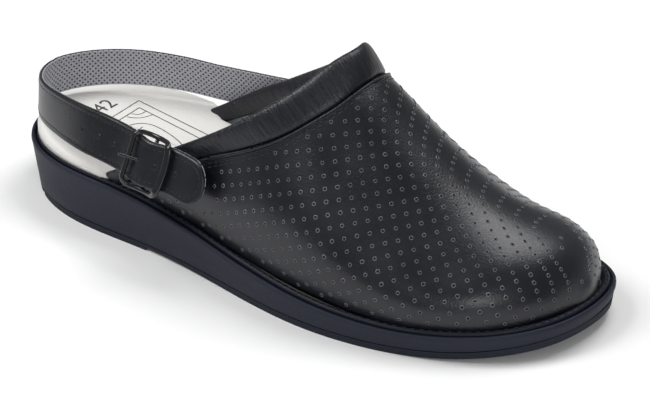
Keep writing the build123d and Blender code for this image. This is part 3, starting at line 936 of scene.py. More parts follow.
# ------------------------------------------------------------------ sole
@dataclass
class Sole:
    """Moulded wedge with its rim, groove and stitched bead, over the tread."""

    rim: Sequence[tuple[float, float]] = (
        (0, 1), (11, -24), (40, -40.5), (92, -45), (139, -51), (185, -57), (225, -52.5), (262, -37.5),
        (285, -13), (291, 13), (285, 37), (262, 52), (215, 55.5), (168, 48.5), (120, 42), (81, 43.5),
        (40, 42.5), (11, 26),
    )
    rim_height: Knots = (
        (-10, 26), (0, 26.3), (70, 27.2), (110, 23.2), (150, 17.6), (220, 11.5), (260, 12.6), (300, 16.6))
    taper: float = math.tan(math.radians(7.0))
    tread_thickness: float = 3.2
    toe_spring: float = 6.3
    steps: int = 260
    stitches: Stitching = field(default_factory=lambda: Stitching(2.4, 1.5, 0.75))

    def edge(self) -> tuple[np.ndarray, np.ndarray]:
        """The rim seen from above, with its inward direction."""
        line = SmoothLine(np.array(self.rim, float), closed=True).even(self.steps, closed=True)
        along = unit(np.roll(line, -1, axis=0) - np.roll(line, 1, axis=0))
        return line, np.stack([-along[:, 1], along[:, 0]], axis=1)

    def ring(self, inset: np.ndarray | float, height: np.ndarray) -> np.ndarray:
        """The rim moved in by inset, at a height for each point."""
        line, inward = self.edge()
        spot = line + inward * np.reshape(inset, (-1, 1))
        return np.column_stack([spot, height])

    def base_height(self, x: np.ndarray) -> np.ndarray:
        """Top of the tread at x."""
        spring = np.clip((x - 215) / 76, 0, None) ** 2 * self.toe_spring
        return self.tread_thickness + spring

    def build(self, finish: Finishes, frame: dict) -> list[bpy.types.Object]:
        """Makes the wedge, the bead and its stitches, and dresses the CAD tread."""
        line, _ = self.edge()
        rim = at(self.rim_height, line[:, 0])
        base = self.base_height(line[:, 0])
        tapered = (rim - base) * self.taper
        profile = [
            (14.0, base), (tapered + 0.9, base), (tapered + 0.25, base + 0.12), (tapered, base + 0.55),
            (tapered * 0.55, base + (rim - base) * 0.45), (tapered * 0.08, rim - 2.4),
            (0.0, rim - 1.5), (0.12, rim - 0.6), (0.5, rim - 0.12), (1.05, rim + 0.02), (1.6, rim - 0.15),
            (1.9, rim - 0.6), (2.1, rim - 1.3), (2.5, rim - 1.6), (14.0, rim - 1.6),
        ]
        rings = [self.ring(inset, height) for inset, height in profile]
        faces = grid_faces(len(rings), self.steps, wrap=True)
        last = (len(rings) - 1) * self.steps
        faces += [(last + c, last + (c + 1) % self.steps, (c + 1) % self.steps, c) for c in range(self.steps)]
        wedge = make_mesh("wedge_shell", np.vstack(rings), faces)
        point_outwards(wedge)
        dress(wedge, finish.wedge)
        bead_profile = [
            (2.5, rim - 1.5), (2.6, rim - 0.2), (2.9, rim + 0.55), (3.5, rim + 0.95), (4.3, rim + 1.0),
            (5.0, rim + 0.75), (5.5, rim + 0.1), (6.0, rim - 0.2), (6.2, rim - 1.5),
        ]
        rings = [self.ring(inset, height) for inset, height in bead_profile]
        faces = grid_faces(len(rings), self.steps, wrap=True)
        last = (len(rings) - 1) * self.steps
        faces += [(last + c, last + (c + 1) % self.steps, (c + 1) % self.steps, c) for c in range(self.steps)]
        bead = make_mesh("welt_bead", np.vstack(rings), faces)
        point_outwards(bead)
        dress(bead, finish.bead)
        run = self.ring(3.7, rim + 1.1)
        seam = self.stitches.sew("welt_stitches", [np.vstack([run, run[:1]])], finish.bead)
        for obj, nodes, slot in ((wedge, ("midsole_wedge",), "sole_foam"), (bead, ("welt_strip",), "welt"),
                                 (seam, (), "welt")):
            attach(obj, "shoe")
            if nodes:
                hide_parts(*nodes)
        dress(frame["nodes"]["tread_sole"], finish.tread)
        dress(frame["nodes"]["insole_board"], finish.board)
        dress(frame["nodes"]["steel_shank"], finish.shank)
        return [wedge, bead, seam]


# ------------------------------------------------------------------ footbed
@dataclass
class Footbed:
    """Cupped footbed with its printed size and line pattern."""

    sole: Sole
    top: Knots = (
        (-10, 34.4), (0, 34), (40, 32.6), (90, 30), (130, 25.5), (170, 21), (220, 18), (300, 22))
    heel_inset: float = 3.2
    medial_reach: float = 2.2
    fore_inset: float = 11.0
    cup: float = 1.1
    edge_radius: float = 2.2

    def inset(self, line: np.ndarray) -> np.ndarray:
        """How far the footbed's edge lies inside the rim's points."""
        heel = self.heel_inset - self.medial_reach * smooth_step(line[:, 1], 0, 30)
        return heel + (self.fore_inset - heel) * smooth_step(line[:, 0], 65, 80)

    def height(self, x: np.ndarray, share: np.ndarray) -> np.ndarray:
        """Top height at x for a share 0 at the middle to 1 at the edge."""
        lift = self.cup * (1 - smooth_step(x, 120, 190))
        return at(self.top, x) - lift * (1 - share**2.2) * 0.8 - 0.05

    def spine(self, line: np.ndarray) -> np.ndarray:
        """The middle line that the rings shrink to."""
        x = np.clip(line[:, 0], 38, 245)
        y = at([(38, 1), (120, -1), (180, -2), (245, 5)], x)
        return np.column_stack([x, y])

    def build(self, finish: Finishes, frame: dict) -> list[bpy.types.Object]:
        """Makes the footbed's skin and print, and dresses the hidden core."""
        line, inward = self.sole.edge()
        edge = line + inward * self.inset(line)[:, None]
        spine = self.spine(edge)
        base = at(self.sole.rim_height, edge[:, 0]) + 1.05
        full = at(self.top, edge[:, 0])
        rings = [np.column_stack([edge, base]), np.column_stack([edge, full - self.edge_radius])]
        for angle in (30, 60, 90):
            back = self.edge_radius * (1 - math.cos(math.radians(angle)))
            drop = self.edge_radius * (1 - math.sin(math.radians(angle)))
            rings.append(np.column_stack([edge + unit(spine - edge) * back, full - drop]))
        inner = rings[-1][:, :2]
        for share in (0.94, 0.86, 0.75, 0.62, 0.48, 0.34, 0.2, 0.08, 0.0):
            spot = spine + (inner - spine) * share
            rings.append(np.column_stack([spot, self.height(spot[:, 0], np.full(len(spot), share))]))
        points = np.vstack(rings)
        count = len(line)
        skin = make_mesh("footbed_skin", points, grid_faces(len(rings), count, wrap=True))
        bm = bmesh.new()
        bm.from_mesh(skin.data)
        bmesh.ops.remove_doubles(bm, verts=bm.verts, dist=2e-5)
        bmesh.ops.holes_fill(bm, edges=bm.edges)
        bmesh.ops.recalc_face_normals(bm, faces=bm.faces)
        bm.to_mesh(skin.data)
        bm.free()
        skin.data.polygons.foreach_set("use_smooth", [True] * len(skin.data.polygons))
        dress(skin, finish.footbed)
        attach(skin, "shoe")
        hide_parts("footbed_cover")
        marks = self.print_marks(finish, skin)
        dress(frame["nodes"]["footbed_core"], finish.core)
        return [skin, *marks]

    def surface(self, skin: bpy.types.Object, spots: np.ndarray) -> np.ndarray:
        """Height of the footbed's skin under flat points, in millimetres."""
        corners = [v.co for v in skin.data.vertices]
        tree = BVHTree.FromPolygons(corners, [p.vertices for p in skin.data.polygons])
        heights = []
        for x, y, _ in to_frame(np.column_stack([spots, np.zeros(len(spots))])):
            hit = tree.ray_cast(Vector((x, y, 0.1)), Vector((0, 0, -1)))[0]
            heights.append(hit.z / MM if hit else 0.0)
        return np.array(heights)

    def print_marks(self, finish: Finishes, skin: bpy.types.Object) -> list[bpy.types.Object]:
        """The printed size number and a plain pattern of nested squares and arcs."""
        points, faces = [], []

        def ribbon(path: np.ndarray, width: float) -> None:
            """Adds a flat printed line."""
            along = unit(np.gradient(path, axis=0))
            side = np.stack([-along[:, 1], along[:, 0]], axis=1) * width / 2
            start = len(points)
            for p, s in zip(path, side):
                points.extend([p - s, p + s])
            faces.extend((start + 2 * i, start + 2 * i + 1, start + 2 * i + 3, start + 2 * i + 2)
                         for i in range(len(path) - 1))

        def straight(a: tuple[float, float], b: tuple[float, float], width: float) -> None:
            """Adds a printed straight line."""
            ribbon(np.linspace(a, b, 26), width)

        squares = (
            ((37.0, 22.3), (37.4, -10.0), (94.0, 15.2)), ((41.3, 17.3), (41.8, -10.0), (88.0, 11.0)))
        for corner, near, far in squares:
            straight(corner, near, 0.55)
            straight(corner, far, 0.55)
        arcs = (
            ((42.1, 10.6), (45.0, 12.1), (45.7, 16.9)), ((42.4, 7.1), (46.8, 9.2), (50.4, 16.3)),
            ((45.5, -6.0), (47.8, 0.1), (50.9, 6.0), (56.6, 8.2), (62.9, 7.6), (74.7, 4.0), (84.0, -1.0)),
            ((54.4, -4.0), (53.9, 4.3)))
        for arc in arcs:
            ribbon(SmoothLine(np.array(arc)).even(30), 0.5)
        flat = np.array(points)
        heights = self.surface(skin, flat)[:, None] + 0.06
        lines = make_mesh("footbed_print", np.hstack([flat, heights]), faces, smooth=False)
        dress(lines, finish.ink)
        curve = bpy.data.curves.new("size_number", "FONT")
        curve.body = Print.SIZE.value
        curve.size = 0.0118
        curve.align_x = "CENTER"
        text = bpy.data.objects.new("size_number", curve)
        bpy.context.scene.collection.objects.link(text)
        number = bpy.data.objects.new("footbed_size", bpy.data.meshes.new_from_object(text))
        bpy.data.objects.remove(text)
        bpy.context.scene.collection.objects.link(number)
        place = to_frame(np.array([[31.6, 8.2, 0.0]]))[0]
        number.data.transform(Matrix.Translation(Vector(place)) @ Matrix.Rotation(math.radians(88), 4, "Z"))
        spots = np.array([v.co[:] for v in number.data.vertices])
        maker = spots / MM + np.array(LAST_ORIGIN)
        high = to_frame(np.column_stack([maker[:, :2], self.surface(skin, maker[:, :2]) + 0.06]))
        number.data.vertices.foreach_set("co", high.astype(np.float32).ravel())
        number.data.update()
        dress(number, finish.ink)
        for obj in (lines, number):
            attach(obj, "shoe")
        return [lines, number]


# ------------------------------------------------------------------ upper
@dataclass
class Upper:
    """Closed-toe upper: punched vamp, pale lining and the padded collar round the foot opening."""

    lateral: Knots = (
        (66, -39.6), (95, -40.2), (120, -41.9), (139, -45), (185, -50.5), (225, -47), (255, -36), (272, -22),
        (281, -8), (285.5, 5))
    medial: Knots = (
        (66, 37), (95, 37.2), (139, 39.5), (185, 45.5), (225, 49), (255, 47), (272, 40), (281, 30),
        (285.5, 20))
    crown: Knots = (
        (66, 128), (120, 122), (150, 114), (172, 103), (186, 93.5), (196, 84.8), (206, 75.8), (216, 67.6),
        (226, 60.3), (236, 54.2), (246, 49.5), (256, 45.8), (266, 42.4), (275, 38), (281.5, 31.5),
        (285.5, 24))
    middle: Knots = ((66, -2), (184, -1), (210, 0), (240, 3), (270, 9), (285.5, 13))
    seam: Knots = (
        (62, 18), (86, 33), (100, 41), (113, 48.5), (126, 56), (143, 64), (161, 74), (175, 84.5), (183, 92),
        (189, 103), (192, 125))
    rim_height: Knots = Sole.rim_height
    rear_arch: Knots = (
        (1.0, 0.0), (1.07, 0.12), (1.04, 0.25), (0.94, 0.36), (0.83, 0.50), (0.62, 0.72), (0.33, 0.92))
    front_arch: Knots = (
        (1.0, 0.0), (1.05, 0.15), (1.06, 0.30), (0.98, 0.46), (0.80, 0.62), (0.56, 0.79), (0.30, 0.94))
    toe_arch: Knots = (
        (1.0, 0.0), (1.04, 0.15), (1.05, 0.31), (1.00, 0.49), (0.85, 0.67), (0.62, 0.84), (0.33, 0.955))
    crest: Sequence[tuple[float, float, float]] = (
        (68, -40.2, 31), (82, -40.6, 40), (98, -40.9, 50.5), (114, -41.2, 60), (126, -40.2, 67.5),
        (143, -35.5, 79), (155, -29, 88), (164, -20.5, 96), (170, -10, 103), (174, 1, 106), (170, 12, 103),
        (164, 20, 96), (155, 27, 88), (143, 32.5, 79), (126, 36.8, 67.5), (114, 37.6, 60), (98, 37.4, 50.5),
        (82, 37.2, 40), (68, 37, 31))
    start_x: float = 76.0
    tip_x: float = 285.5
    collar_half: float = 2.7
    rows: int = 44
    crown_share: float = 0.7
    punching: Punching = field(default_factory=Punching)
    stitches: Stitching = field(default_factory=lambda: Stitching(2.2, 1.1, 0.5))

    def arch(self, x: float) -> tuple[np.ndarray, np.ndarray]:
        """Width and lift shares of the cross-section at x."""
        front = float(smooth_step(x, 126, 192))
        toe = float(smooth_step(x, 236, 266))
        rear_a, front_a, toe_a = (np.array(a) for a in (self.rear_arch, self.front_arch, self.toe_arch))
        mixed = rear_a + (front_a - rear_a) * front
        mixed = mixed + (toe_a - mixed) * toe
        return mixed[:, 0], mixed[:, 1]

    def section(self, x: float, inward: float = 0.0) -> tuple[np.ndarray, np.ndarray]:
        """The cross-section at x.

        Args:
            x: place along the shoe.
            inward: how far inside the skin.

        Returns:
            Lateral and medial walls as (y, z) rows, each from the foot line to the crown.
        """
        foot = float(at(self.rim_height, x)) - 2.0
        top = float(at(self.crown, x)) - inward
        centre = float(at(self.middle, x))
        width, lift = self.arch(x)
        z = foot + (top - foot) * lift
        left = centre + (float(at(self.lateral, x)) + inward - centre) * width
        right = centre + (float(at(self.medial, x)) - inward - centre) * width
        knots = np.vstack([np.stack([left, z], 1), [[centre, top]], np.stack([right, z], 1)[::-1]])
        line = SmoothLine(knots)
        dense = line.at(np.linspace(0, 1, 900))
        peak = int(np.argmax(dense[:, 1]))
        return dense[: peak + 1], dense[peak:][::-1]

    def cut(self, wall: np.ndarray, low: float, high: float, count: int) -> np.ndarray:
        """The part of a wall between two heights, as evenly spaced rows."""
        z = np.maximum.accumulate(wall[:, 1] + np.arange(len(wall)) * 1e-9)
        run = run_length(wall)
        start, end = np.interp(low, z, run), np.interp(high, z, run)
        goal = np.linspace(start, end, count)
        return np.stack([np.interp(goal, run, wall[:, 0]), np.interp(goal, run, wall[:, 1])], axis=1)

    def apex(self) -> float:
        """Where the topline meets the crown."""
        xs = np.linspace(170, 192, 441)
        return float(xs[np.argmax(at(self.seam, xs) >= at(self.crown, xs))])

    def stations(self) -> np.ndarray:
        """Places of the cross-sections, close together at the throat and the toe."""
        apex = self.apex()
        return np.concatenate([
            np.arange(self.start_x, apex - 6, 2.6), np.linspace(apex - 6, apex, 14)[:-1],
            np.arange(apex, 262, 2.6), self.tip_x - 24 * (1 - np.sin(np.linspace(0, 1, 15) * math.pi / 2))])

    def shell(self, name: str, inward: float, extra_top: float = 0.0) -> bpy.types.Object:
        """One open layer of the upper, with UVs in metres and its keep-clear attribute.

        Args:
            name: the piece's name.
            inward: how far inside the skin.
            extra_top: how far it reaches above the topline seam.

        Returns:
            The open surface, facing outwards.
        """
        stations, apex = self.stations(), self.apex()
        grids: dict[Side, list[np.ndarray]] = {Side.LATERAL: [], Side.MEDIAL: []}
        runs: dict[Side, list[np.ndarray]] = {Side.LATERAL: [], Side.MEDIAL: []}
        bend, scale = 200.0, (self.tip_x - 200.0 - inward) / (self.tip_x - 200.0)
        for x in stations:
            place = x if x <= bend else bend + (x - bend) * scale
            walls = self.section(float(x), inward)
            low = float(at(self.rim_height, x)) + 0.6
            top = min(float(at(self.seam, x)) + extra_top, float(at(self.crown, x)) - inward)
            for side, wall in zip(Side, walls):
                rows = self.cut(wall, low, top if x < apex else 1e3, self.rows)
                grids[side].append(np.column_stack([np.full(self.rows, place), rows]))
                runs[side].append(run_length(rows))
        for k, push in ((0.72, 0.75), (0.38, 1.15), (0.0, 1.3)):
            for side in Side:
                last = grids[side][len(stations) - 1]
                heart = np.array([last[-1, 0], grids[Side.LATERAL][len(stations) - 1][-1, 1], last[0, 2]])
                ring = heart + (last - heart) * np.array([1, k, 0.35 + 0.65 * k])
                ring[:, 0] = last[:, 0] + push
                grids[side].append(ring)
                runs[side].append(runs[side][len(stations) - 1] * max(k, 0.02))
        count = len(grids[Side.LATERAL])
        full = np.array([a[-1] + b[-1] for a, b in zip(runs[Side.LATERAL], runs[Side.MEDIAL])])
        first = int(np.argmax(stations >= apex))
        full[:first] = full[first]
        points, uvs, keep, faces = [], [], [], []
        places = list(stations) + [self.tip_x] * 3
        for side in Side:
            steps = np.linalg.norm(np.diff(np.array(grids[side]), axis=0), axis=2)
            steps[:first] = steps[:first, :1]
            u = np.vstack([np.zeros(self.rows), np.cumsum(steps, axis=0)])
            u -= u[first].copy()
            over_crown = int(self.rows * self.crown_share)
            bands = [(0, self.rows)]
            if side is Side.MEDIAL:
                bands = [(0, over_crown + 1), (over_crown, self.rows)]
            for low_row, high_row in bands:
                start, pick = len(points), slice(low_row, high_row)
                for i in range(count):
                    run, spots = runs[side][i], grids[side][i]
                    girth = full[i] if high_row == self.rows else full[first]
                    v = run if side is Side.LATERAL else girth - run
                    points.extend(spots[pick])
                    uvs.extend(np.stack([u[i], v], axis=1)[pick] * MM)
                    room = run[-1] - run if places[i] < apex + 2 else np.full(self.rows, 50.0)
                    clear = (room > 5.0) & (run > 3.4) & (84 < places[i] < 284.5)
                    if side is Side.LATERAL and places[i] < 133:
                        clear &= spots[:, 2] < 37
                    elif side is Side.MEDIAL and places[i] < 100:
                        clear[:] = False
                    keep.extend(clear[pick].astype(float))
                faces += [tuple(start + k for k in f)
                          for f in grid_faces(count, high_row - low_row, flip=side is Side.MEDIAL)]
        obj = make_mesh(name, np.array(points), faces, np.array(uvs))
        mark = obj.data.attributes.new("keep_holes", "FLOAT", "POINT")
        mark.data.foreach_set("value", np.array(keep, np.float32))
        bm = bmesh.new()
        bm.from_mesh(obj.data)
        bmesh.ops.remove_doubles(bm, verts=bm.verts, dist=0.05 * MM)
        bm.to_mesh(obj.data)
        bm.free()
        if np.mean([p.normal.z for p in obj.data.polygons]) < 0:
            obj.data.flip_normals()
        return obj

    def skin_line(self, side: Side, xs: np.ndarray, drop: float, proud: float) -> np.ndarray:
        """Points on the skin a little below the topline seam."""
        rows = []
        for x in xs:
            wall = self.section(float(x), -proud)[0 if side is Side.LATERAL else 1]
            z = min(float(at(self.seam, x)) - drop, wall[-1, 1])
            rows.append([x, *self.cut(wall, z, z, 1)[0]])
        return np.array(rows)

    def topline(self, drop: float, proud: float) -> np.ndarray:
        """The line along the topline seam, from the lateral wing over the throat to the medial wing."""
        apex = self.apex()
        xs = np.concatenate([np.arange(self.start_x, apex - 8, 4.0), np.linspace(apex - 8, apex - 0.4, 7)])
        left = self.skin_line(Side.LATERAL, xs, drop, proud)
        right = self.skin_line(Side.MEDIAL, xs, drop, proud)[::-1]
        top = [[apex + drop * 0.9, float(at(self.middle, apex)), float(at(self.crown, apex + drop)) + proud]]
        return SmoothLine(np.vstack([left, top, right])).even(220)

    def build(self, finish: Finishes, frame: dict) -> list[bpy.types.Object]:
        """Makes the vamp, its punched holes, the lining, the collar and the seams."""
        vamp = self.shell("vamp_surface", 0.0)
        holes = self.punching.lay(
            "vamp_punching", vamp, "keep_holes",
            # each hole's raised rim takes the lighter finish, a painted highlight
            [(self.punching.ring(), finish.lip_highlight),
             # a near-black disc over each hole, painted shade in place of the open hole
             (self.punching.spot(self.punching.hole_radius, 0.05), finish.hole)])
        vamp.name = "vamp_leather"
        solid = vamp.modifiers.new("thickness", "SOLIDIFY")
        solid.thickness = 1.2 * MM
        solid.offset = -1.0
        apply_modifiers(vamp)
        vamp.data.attributes.remove(vamp.data.attributes["keep_holes"])
        dress(vamp, finish.leather)
        lining = self.shell("lining_leather", 2.0, 1.0)
        lining.data.attributes.remove(lining.data.attributes["keep_holes"])
        solid = lining.modifiers.new("thickness", "SOLIDIFY")
        solid.thickness = 0.9 * MM
        solid.offset = -1.0
        apply_modifiers(lining)
        dress(lining, finish.lining)
        collar = self.collar(finish)
        piping_line = self.topline(0.2, 0.35)
        piping = self.cord_along("collar_piping", piping_line, 0.62)
        dress(piping, finish.collar)
        seams = self.stitches.sew(
            "collar_stitches", [self.topline(2.3, 0.05), self.topline(3.9, 0.05)], finish.thread)
        fold = self.cord_along("topline_fold", self.topline(1.35, 0.1), 0.35)
        dress(fold, finish.leather)
        for obj, nodes, slot in (
            (vamp, ("vamp_outer",), "navy_leather"), (holes, (), "navy_leather"),
            (lining, ("vamp_lining",), "lining_leather"),
            (collar, ("collar_cover", "collar_foam"), "collar_leather"),
            (piping, (), "collar_leather"), (seams, (), "navy_leather"), (fold, (), "navy_leather"),
        ):
            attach(obj, "shoe")
            if nodes:
                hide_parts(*nodes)
        dress(frame["nodes"]["toe_puff"], finish.puff)
        return [vamp, holes, lining, collar, piping, seams, fold]

    def cord_along(self, name: str, line: np.ndarray, radius: float) -> bpy.types.Object:
        """A thin round cord of leather along a line."""
        along = unit(np.gradient(line, axis=0))
        across = unit(np.cross(along, [0.0, 0.0, 1.0]))
        rise = np.cross(across, along)
        angle = np.linspace(0, 2 * math.pi, 8, endpoint=False)
        circle = np.stack([np.cos(angle), np.sin(angle)], axis=1) * radius
        return swept_tube(name, line, lambda share: circle, across, rise, closed=False)

    def collar(self, finish: Finishes) -> bpy.types.Object:
        """The padded roll round the foot opening."""
        count = 260
        base = self.topline(0.0, -0.4)
        share = np.linspace(0, 1, count)
        run = run_length(base) / run_length(base)[-1]
        seam = np.stack([np.interp(share, run, base[:, k]) for k in range(3)], axis=1)
        crest = SmoothLine(np.array(self.crest, float)).even(count)
        along = unit(np.gradient(seam + crest, axis=0))
        up = crest - seam
        out = unit(np.cross(up, along))
        heart = np.array([130.0, 0.0, 30.0])
        out *= np.where(((seam - heart) * out).sum(axis=1) < 0, -1, 1)[:, None]
        bulge = at([(0, 0.15), (0.25, 0.3), (0.38, 1.0), (0.62, 1.0), (0.75, 0.3), (1, 0.15)], share)
        phi = np.linspace(0, math.pi, 17)
        flat = np.abs(np.cos(phi)) ** 0.75 * np.sign(np.cos(phi))
        high = np.abs(np.sin(phi)) ** 0.8
        rings, uvs = [], []
        length = run_length(seam)
        for i in range(count):
            middle = seam[i] - out[i] * self.collar_half
            top = up[i] + out[i] * (self.collar_half - 0.4)
            swell = self.collar_half * (1 + 0.55 * bulge[i] * np.sin(phi))
            ring = middle + out[i] * (flat * swell)[:, None] + top * high[:, None]
            rings.append(ring)
            uvs.append(np.stack([np.full(17, length[i]), run_length(ring)], axis=1) * MM)
        points = np.vstack(rings)
        faces = grid_faces(count, 17, wrap=True)
        faces += [tuple(range(17))[::-1], tuple(range((count - 1) * 17, count * 17))]
        obj = make_mesh("collar_roll", points, faces, np.vstack(uvs))
        point_outwards(obj)
        smooth = obj.modifiers.new("rounding", "SUBSURF")
        smooth.levels = smooth.render_levels = 1
        apply_modifiers(obj)
        return dress(obj, finish.collar)


# ------------------------------------------------------------------ heel strap
@dataclass
class HeelStrap:
    """The strap round the heel: stitched leather outside, perforated lining inside."""

    path: Sequence[tuple[float, float]] = (
        (132, -50.8), (121, -49.9), (110, -49.2), (100.5, -51.15), (91, -48.6), (66, -44.2), (40, -36.6),
        (18, -23.5), (6.8, -3), (18, 17.5), (40, 30), (66, 39), (90, 42.9), (107, 44.2), (127, 44.8),
        (150, 34), (165, 0), (154, -34),
    )
    ends: tuple[int, int] = (0, 14)
    lateral_height: Knots = (
        (-10, 45.2), (6.8, 45.4), (18, 47.4), (40, 50.4), (66, 52), (84, 51.6), (100.5, 50.6), (119, 49),
        (140, 47.4))
    medial_height: Knots = (
        (-10, 45.2), (6.8, 45.4), (18, 45.8), (38, 46.4), (54, 45.6), (72, 44.2), (95, 45), (118.5, 46.6),
        (140, 47))
    lean_degrees: tuple[float, float] = (24.0, 4.0)
    half_width: float = 9.0
    holes: Sequence[float] = (59.2, 70.0, 79.4, 88.0, 105.4, 115.4)
    hole_radius: float = 0.95
    across: int = 29
    stitches: Stitching = field(default_factory=lambda: Stitching(1.7, 1.0, 0.42))

    def line(self, count: int = 420) -> tuple[np.ndarray, np.ndarray, np.ndarray, np.ndarray]:
        """The strap's middle line.

        Args:
            count: how many places.

        Returns:
            Plan points, outward directions, centre heights and lean slopes.
        """
        loop = SmoothLine(np.array(self.path, float), closed=True)
        first, last = (loop.knots[k] / loop.knots[-1] for k in self.ends)
        dense = loop.at(np.linspace(first, last, 4000))
        run = run_length(dense)
        ease = np.linspace(0, 1, count)
        ease = ease + 0.35 * np.sin(2 * math.pi * ease) / (-2 * math.pi)
        goal = ease * run[-1]
        spot = np.stack([np.interp(goal, run, dense[:, k]) for k in range(2)], axis=1)
        ahead = np.stack([np.interp(goal + 0.3, run, dense[:, k]) for k in range(2)], axis=1)
        behind = np.stack([np.interp(goal - 0.3, run, dense[:, k]) for k in range(2)], axis=1)
        along = unit(ahead - behind)
        out = np.stack([-along[:, 1], along[:, 0]], axis=1)
        outer = spot[:, 1] < 0
        height = np.where(outer, at(self.lateral_height, spot[:, 0]), at(self.medial_height, spot[:, 0]))
        share = np.clip((spot[:, 0] - 8) / 55, 0.15, 1.0)
        lean = np.tan(np.radians(share * np.where(outer, *self.lean_degrees)))
        return spot, out, height, lean

    def layer(self, name: str, shape: Callable[[np.ndarray], np.ndarray], inner: float, margin: float
              ) -> bpy.types.Object:
        """One closed layer of the strap.

        Args:
            name: the piece's name.
            shape: outward offset for a distance from the strap's edge.
            inner: offset of its inner face.
            margin: how far its edge lies inside the strap's.

        Returns:
            The layer with UVs in metres.
        """
        spot, out, height, lean = self.line()
        run = run_length(spot)
        half = self.half_width - margin
        q = np.sin(np.linspace(-1, 1, self.across) * math.pi / 2 * 0.98) / math.sin(math.pi / 2 * 0.98)
        rings, uvs = [], []
        for i in range(len(spot)):
            end = min(run[i], run[-1] - run[i])
            near = max(half - end, 0.0) if end < half else 0.0
            wide = math.sqrt(max(half**2 - near**2, 0.0))
            h = q * wide
            edge = half - np.sqrt(near**2 + h**2)
            offset = shape(edge)
            outer = np.column_stack([spot[i] + out[i] * (offset - h * lean[i])[:, None], height[i] + h])
            back = h[::-1]
            inside = np.column_stack([spot[i] + out[i] * (inner - back * lean[i])[:, None], height[i] + back])
            rings.append(np.vstack([outer, inside]))
            uvs.append(np.column_stack([np.full(2 * self.across, run[i]), np.concatenate([h, back])]) * MM)
        size = 2 * self.across
        faces = grid_faces(len(rings), size, wrap=True)
        obj = make_mesh(name, np.vstack(rings), faces, np.vstack(uvs))
        point_outwards(obj)
        return obj

    def on_face(self, x: float, rise: float, proud: float) -> tuple[np.ndarray, np.ndarray]:
        """A point on the lateral arm's outer face and the outward direction there."""
        spot, out, height, lean = self.line(1600)
        arm = spot[:, 1] < -10
        i = int(np.argmin(np.where(arm, np.abs(spot[:, 0] - x), 1e9)))
        point = np.array([*(spot[i] + out[i] * (1.0 + proud - rise * lean[i])), height[i] + rise])
        return point, unit(np.array([out[i][0], out[i][1], lean[i]]))

    def edge_line(self, inset: float) -> np.ndarray:
        """The stitch line on the outer face, inset from the strap's edge all the way round."""
        spot, out, height, lean = self.line(900)
        run = run_length(spot)
        half = self.half_width - inset
        rows = []
        for sign in (1, -1):
            part = []
            for i in range(len(spot)):
                end = min(run[i], run[-1] - run[i]) - inset
                if end < 0:
                    continue
                near = max(half - end, 0.0)
                h = sign * math.sqrt(max(half**2 - near**2, 0.0))
                part.append([*(spot[i] + out[i] * (1.0 - h * lean[i])), height[i] + h])
            rows.append(np.array(part)[::sign])
        return np.vstack([rows[0], rows[1], rows[0][:1]])

    def build(self, finish: Finishes, frame: dict) -> list[bpy.types.Object]:
        """Makes the strap's layers, stitches and punched holes, and dresses the rivets and chape."""
        edge_depth = ((0.0, 0.30), (0.18, 0.72), (0.5, 0.98), (1.2, 1.06), (1.9, 1.0), (2.35, 0.82),
                      (2.8, 0.97), (3.6, 1.0), (20.0, 1.0))
        depth = np.array(edge_depth)
        leather = self.layer(
            "strap_leather_band", lambda d: np.interp(d, depth[:, 0], depth[:, 1]), -0.28, 0.0)
        dress(leather, finish.strap_leather)
        lining = self.layer("strap_lining_band", lambda d: np.full(len(d), -0.30), -0.98, 0.25)
        dress(lining, finish.strap_lining)
        seam = self.stitches.sew("strap_stitches", [self.edge_line(2.35)], finish.thread)
        points, faces, dark = [], [], []
        turns = 18
        for x in self.holes:
            centre, normal = self.on_face(x, 0.0, 0.0)
            side = unit(np.cross(normal, [0.0, 0.0, 1.0]))
            rise = np.cross(side, normal)
            start = len(points)
            for radius, lift in ((1.35, -0.04), (1.18, 0.10), (1.0, 0.05), (0.98, 0.04)):
                for k in range(turns):
                    angle = 2 * math.pi * k / turns
                    flat = (side * math.cos(angle) + rise * math.sin(angle)) * radius * self.hole_radius
                    points.append(centre + flat + normal * lift)
            faces += [tuple(start + k for k in f) for f in grid_faces(4, turns, wrap=True)]
            # a disc across each hole, dressed near-black below: painted shade in place of the open hole
            faces.append(tuple(range(start + 3 * turns, start + 4 * turns)))
            dark.append(len(faces) - 1)
        rims = make_mesh("strap_holes", np.array(points), faces)
        # the second material is the painted shade inside the holes
        dress(rims, finish.strap_leather, finish.hole)
        for number in dark:
            rims.data.polygons[number].material_index = 1
        for obj, nodes, slot in ((leather, ("strap_leather",), "navy_leather"),
                                 (lining, ("strap_lining",), "strap_lining_leather"),
                                 (seam, (), "navy_leather"), (rims, (), "navy_leather")):
            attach(obj, "strap")
            if nodes:
                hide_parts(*nodes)
        dress(frame["nodes"]["buckle_chape"], finish.strap_leather)
        for node in ("chape_rivet", "strap_rivet", "chape_rivet_washer", "strap_rivet_washer"):
            dress(frame["nodes"][node], finish.steel)
        return [leather, lining, seam, rims]


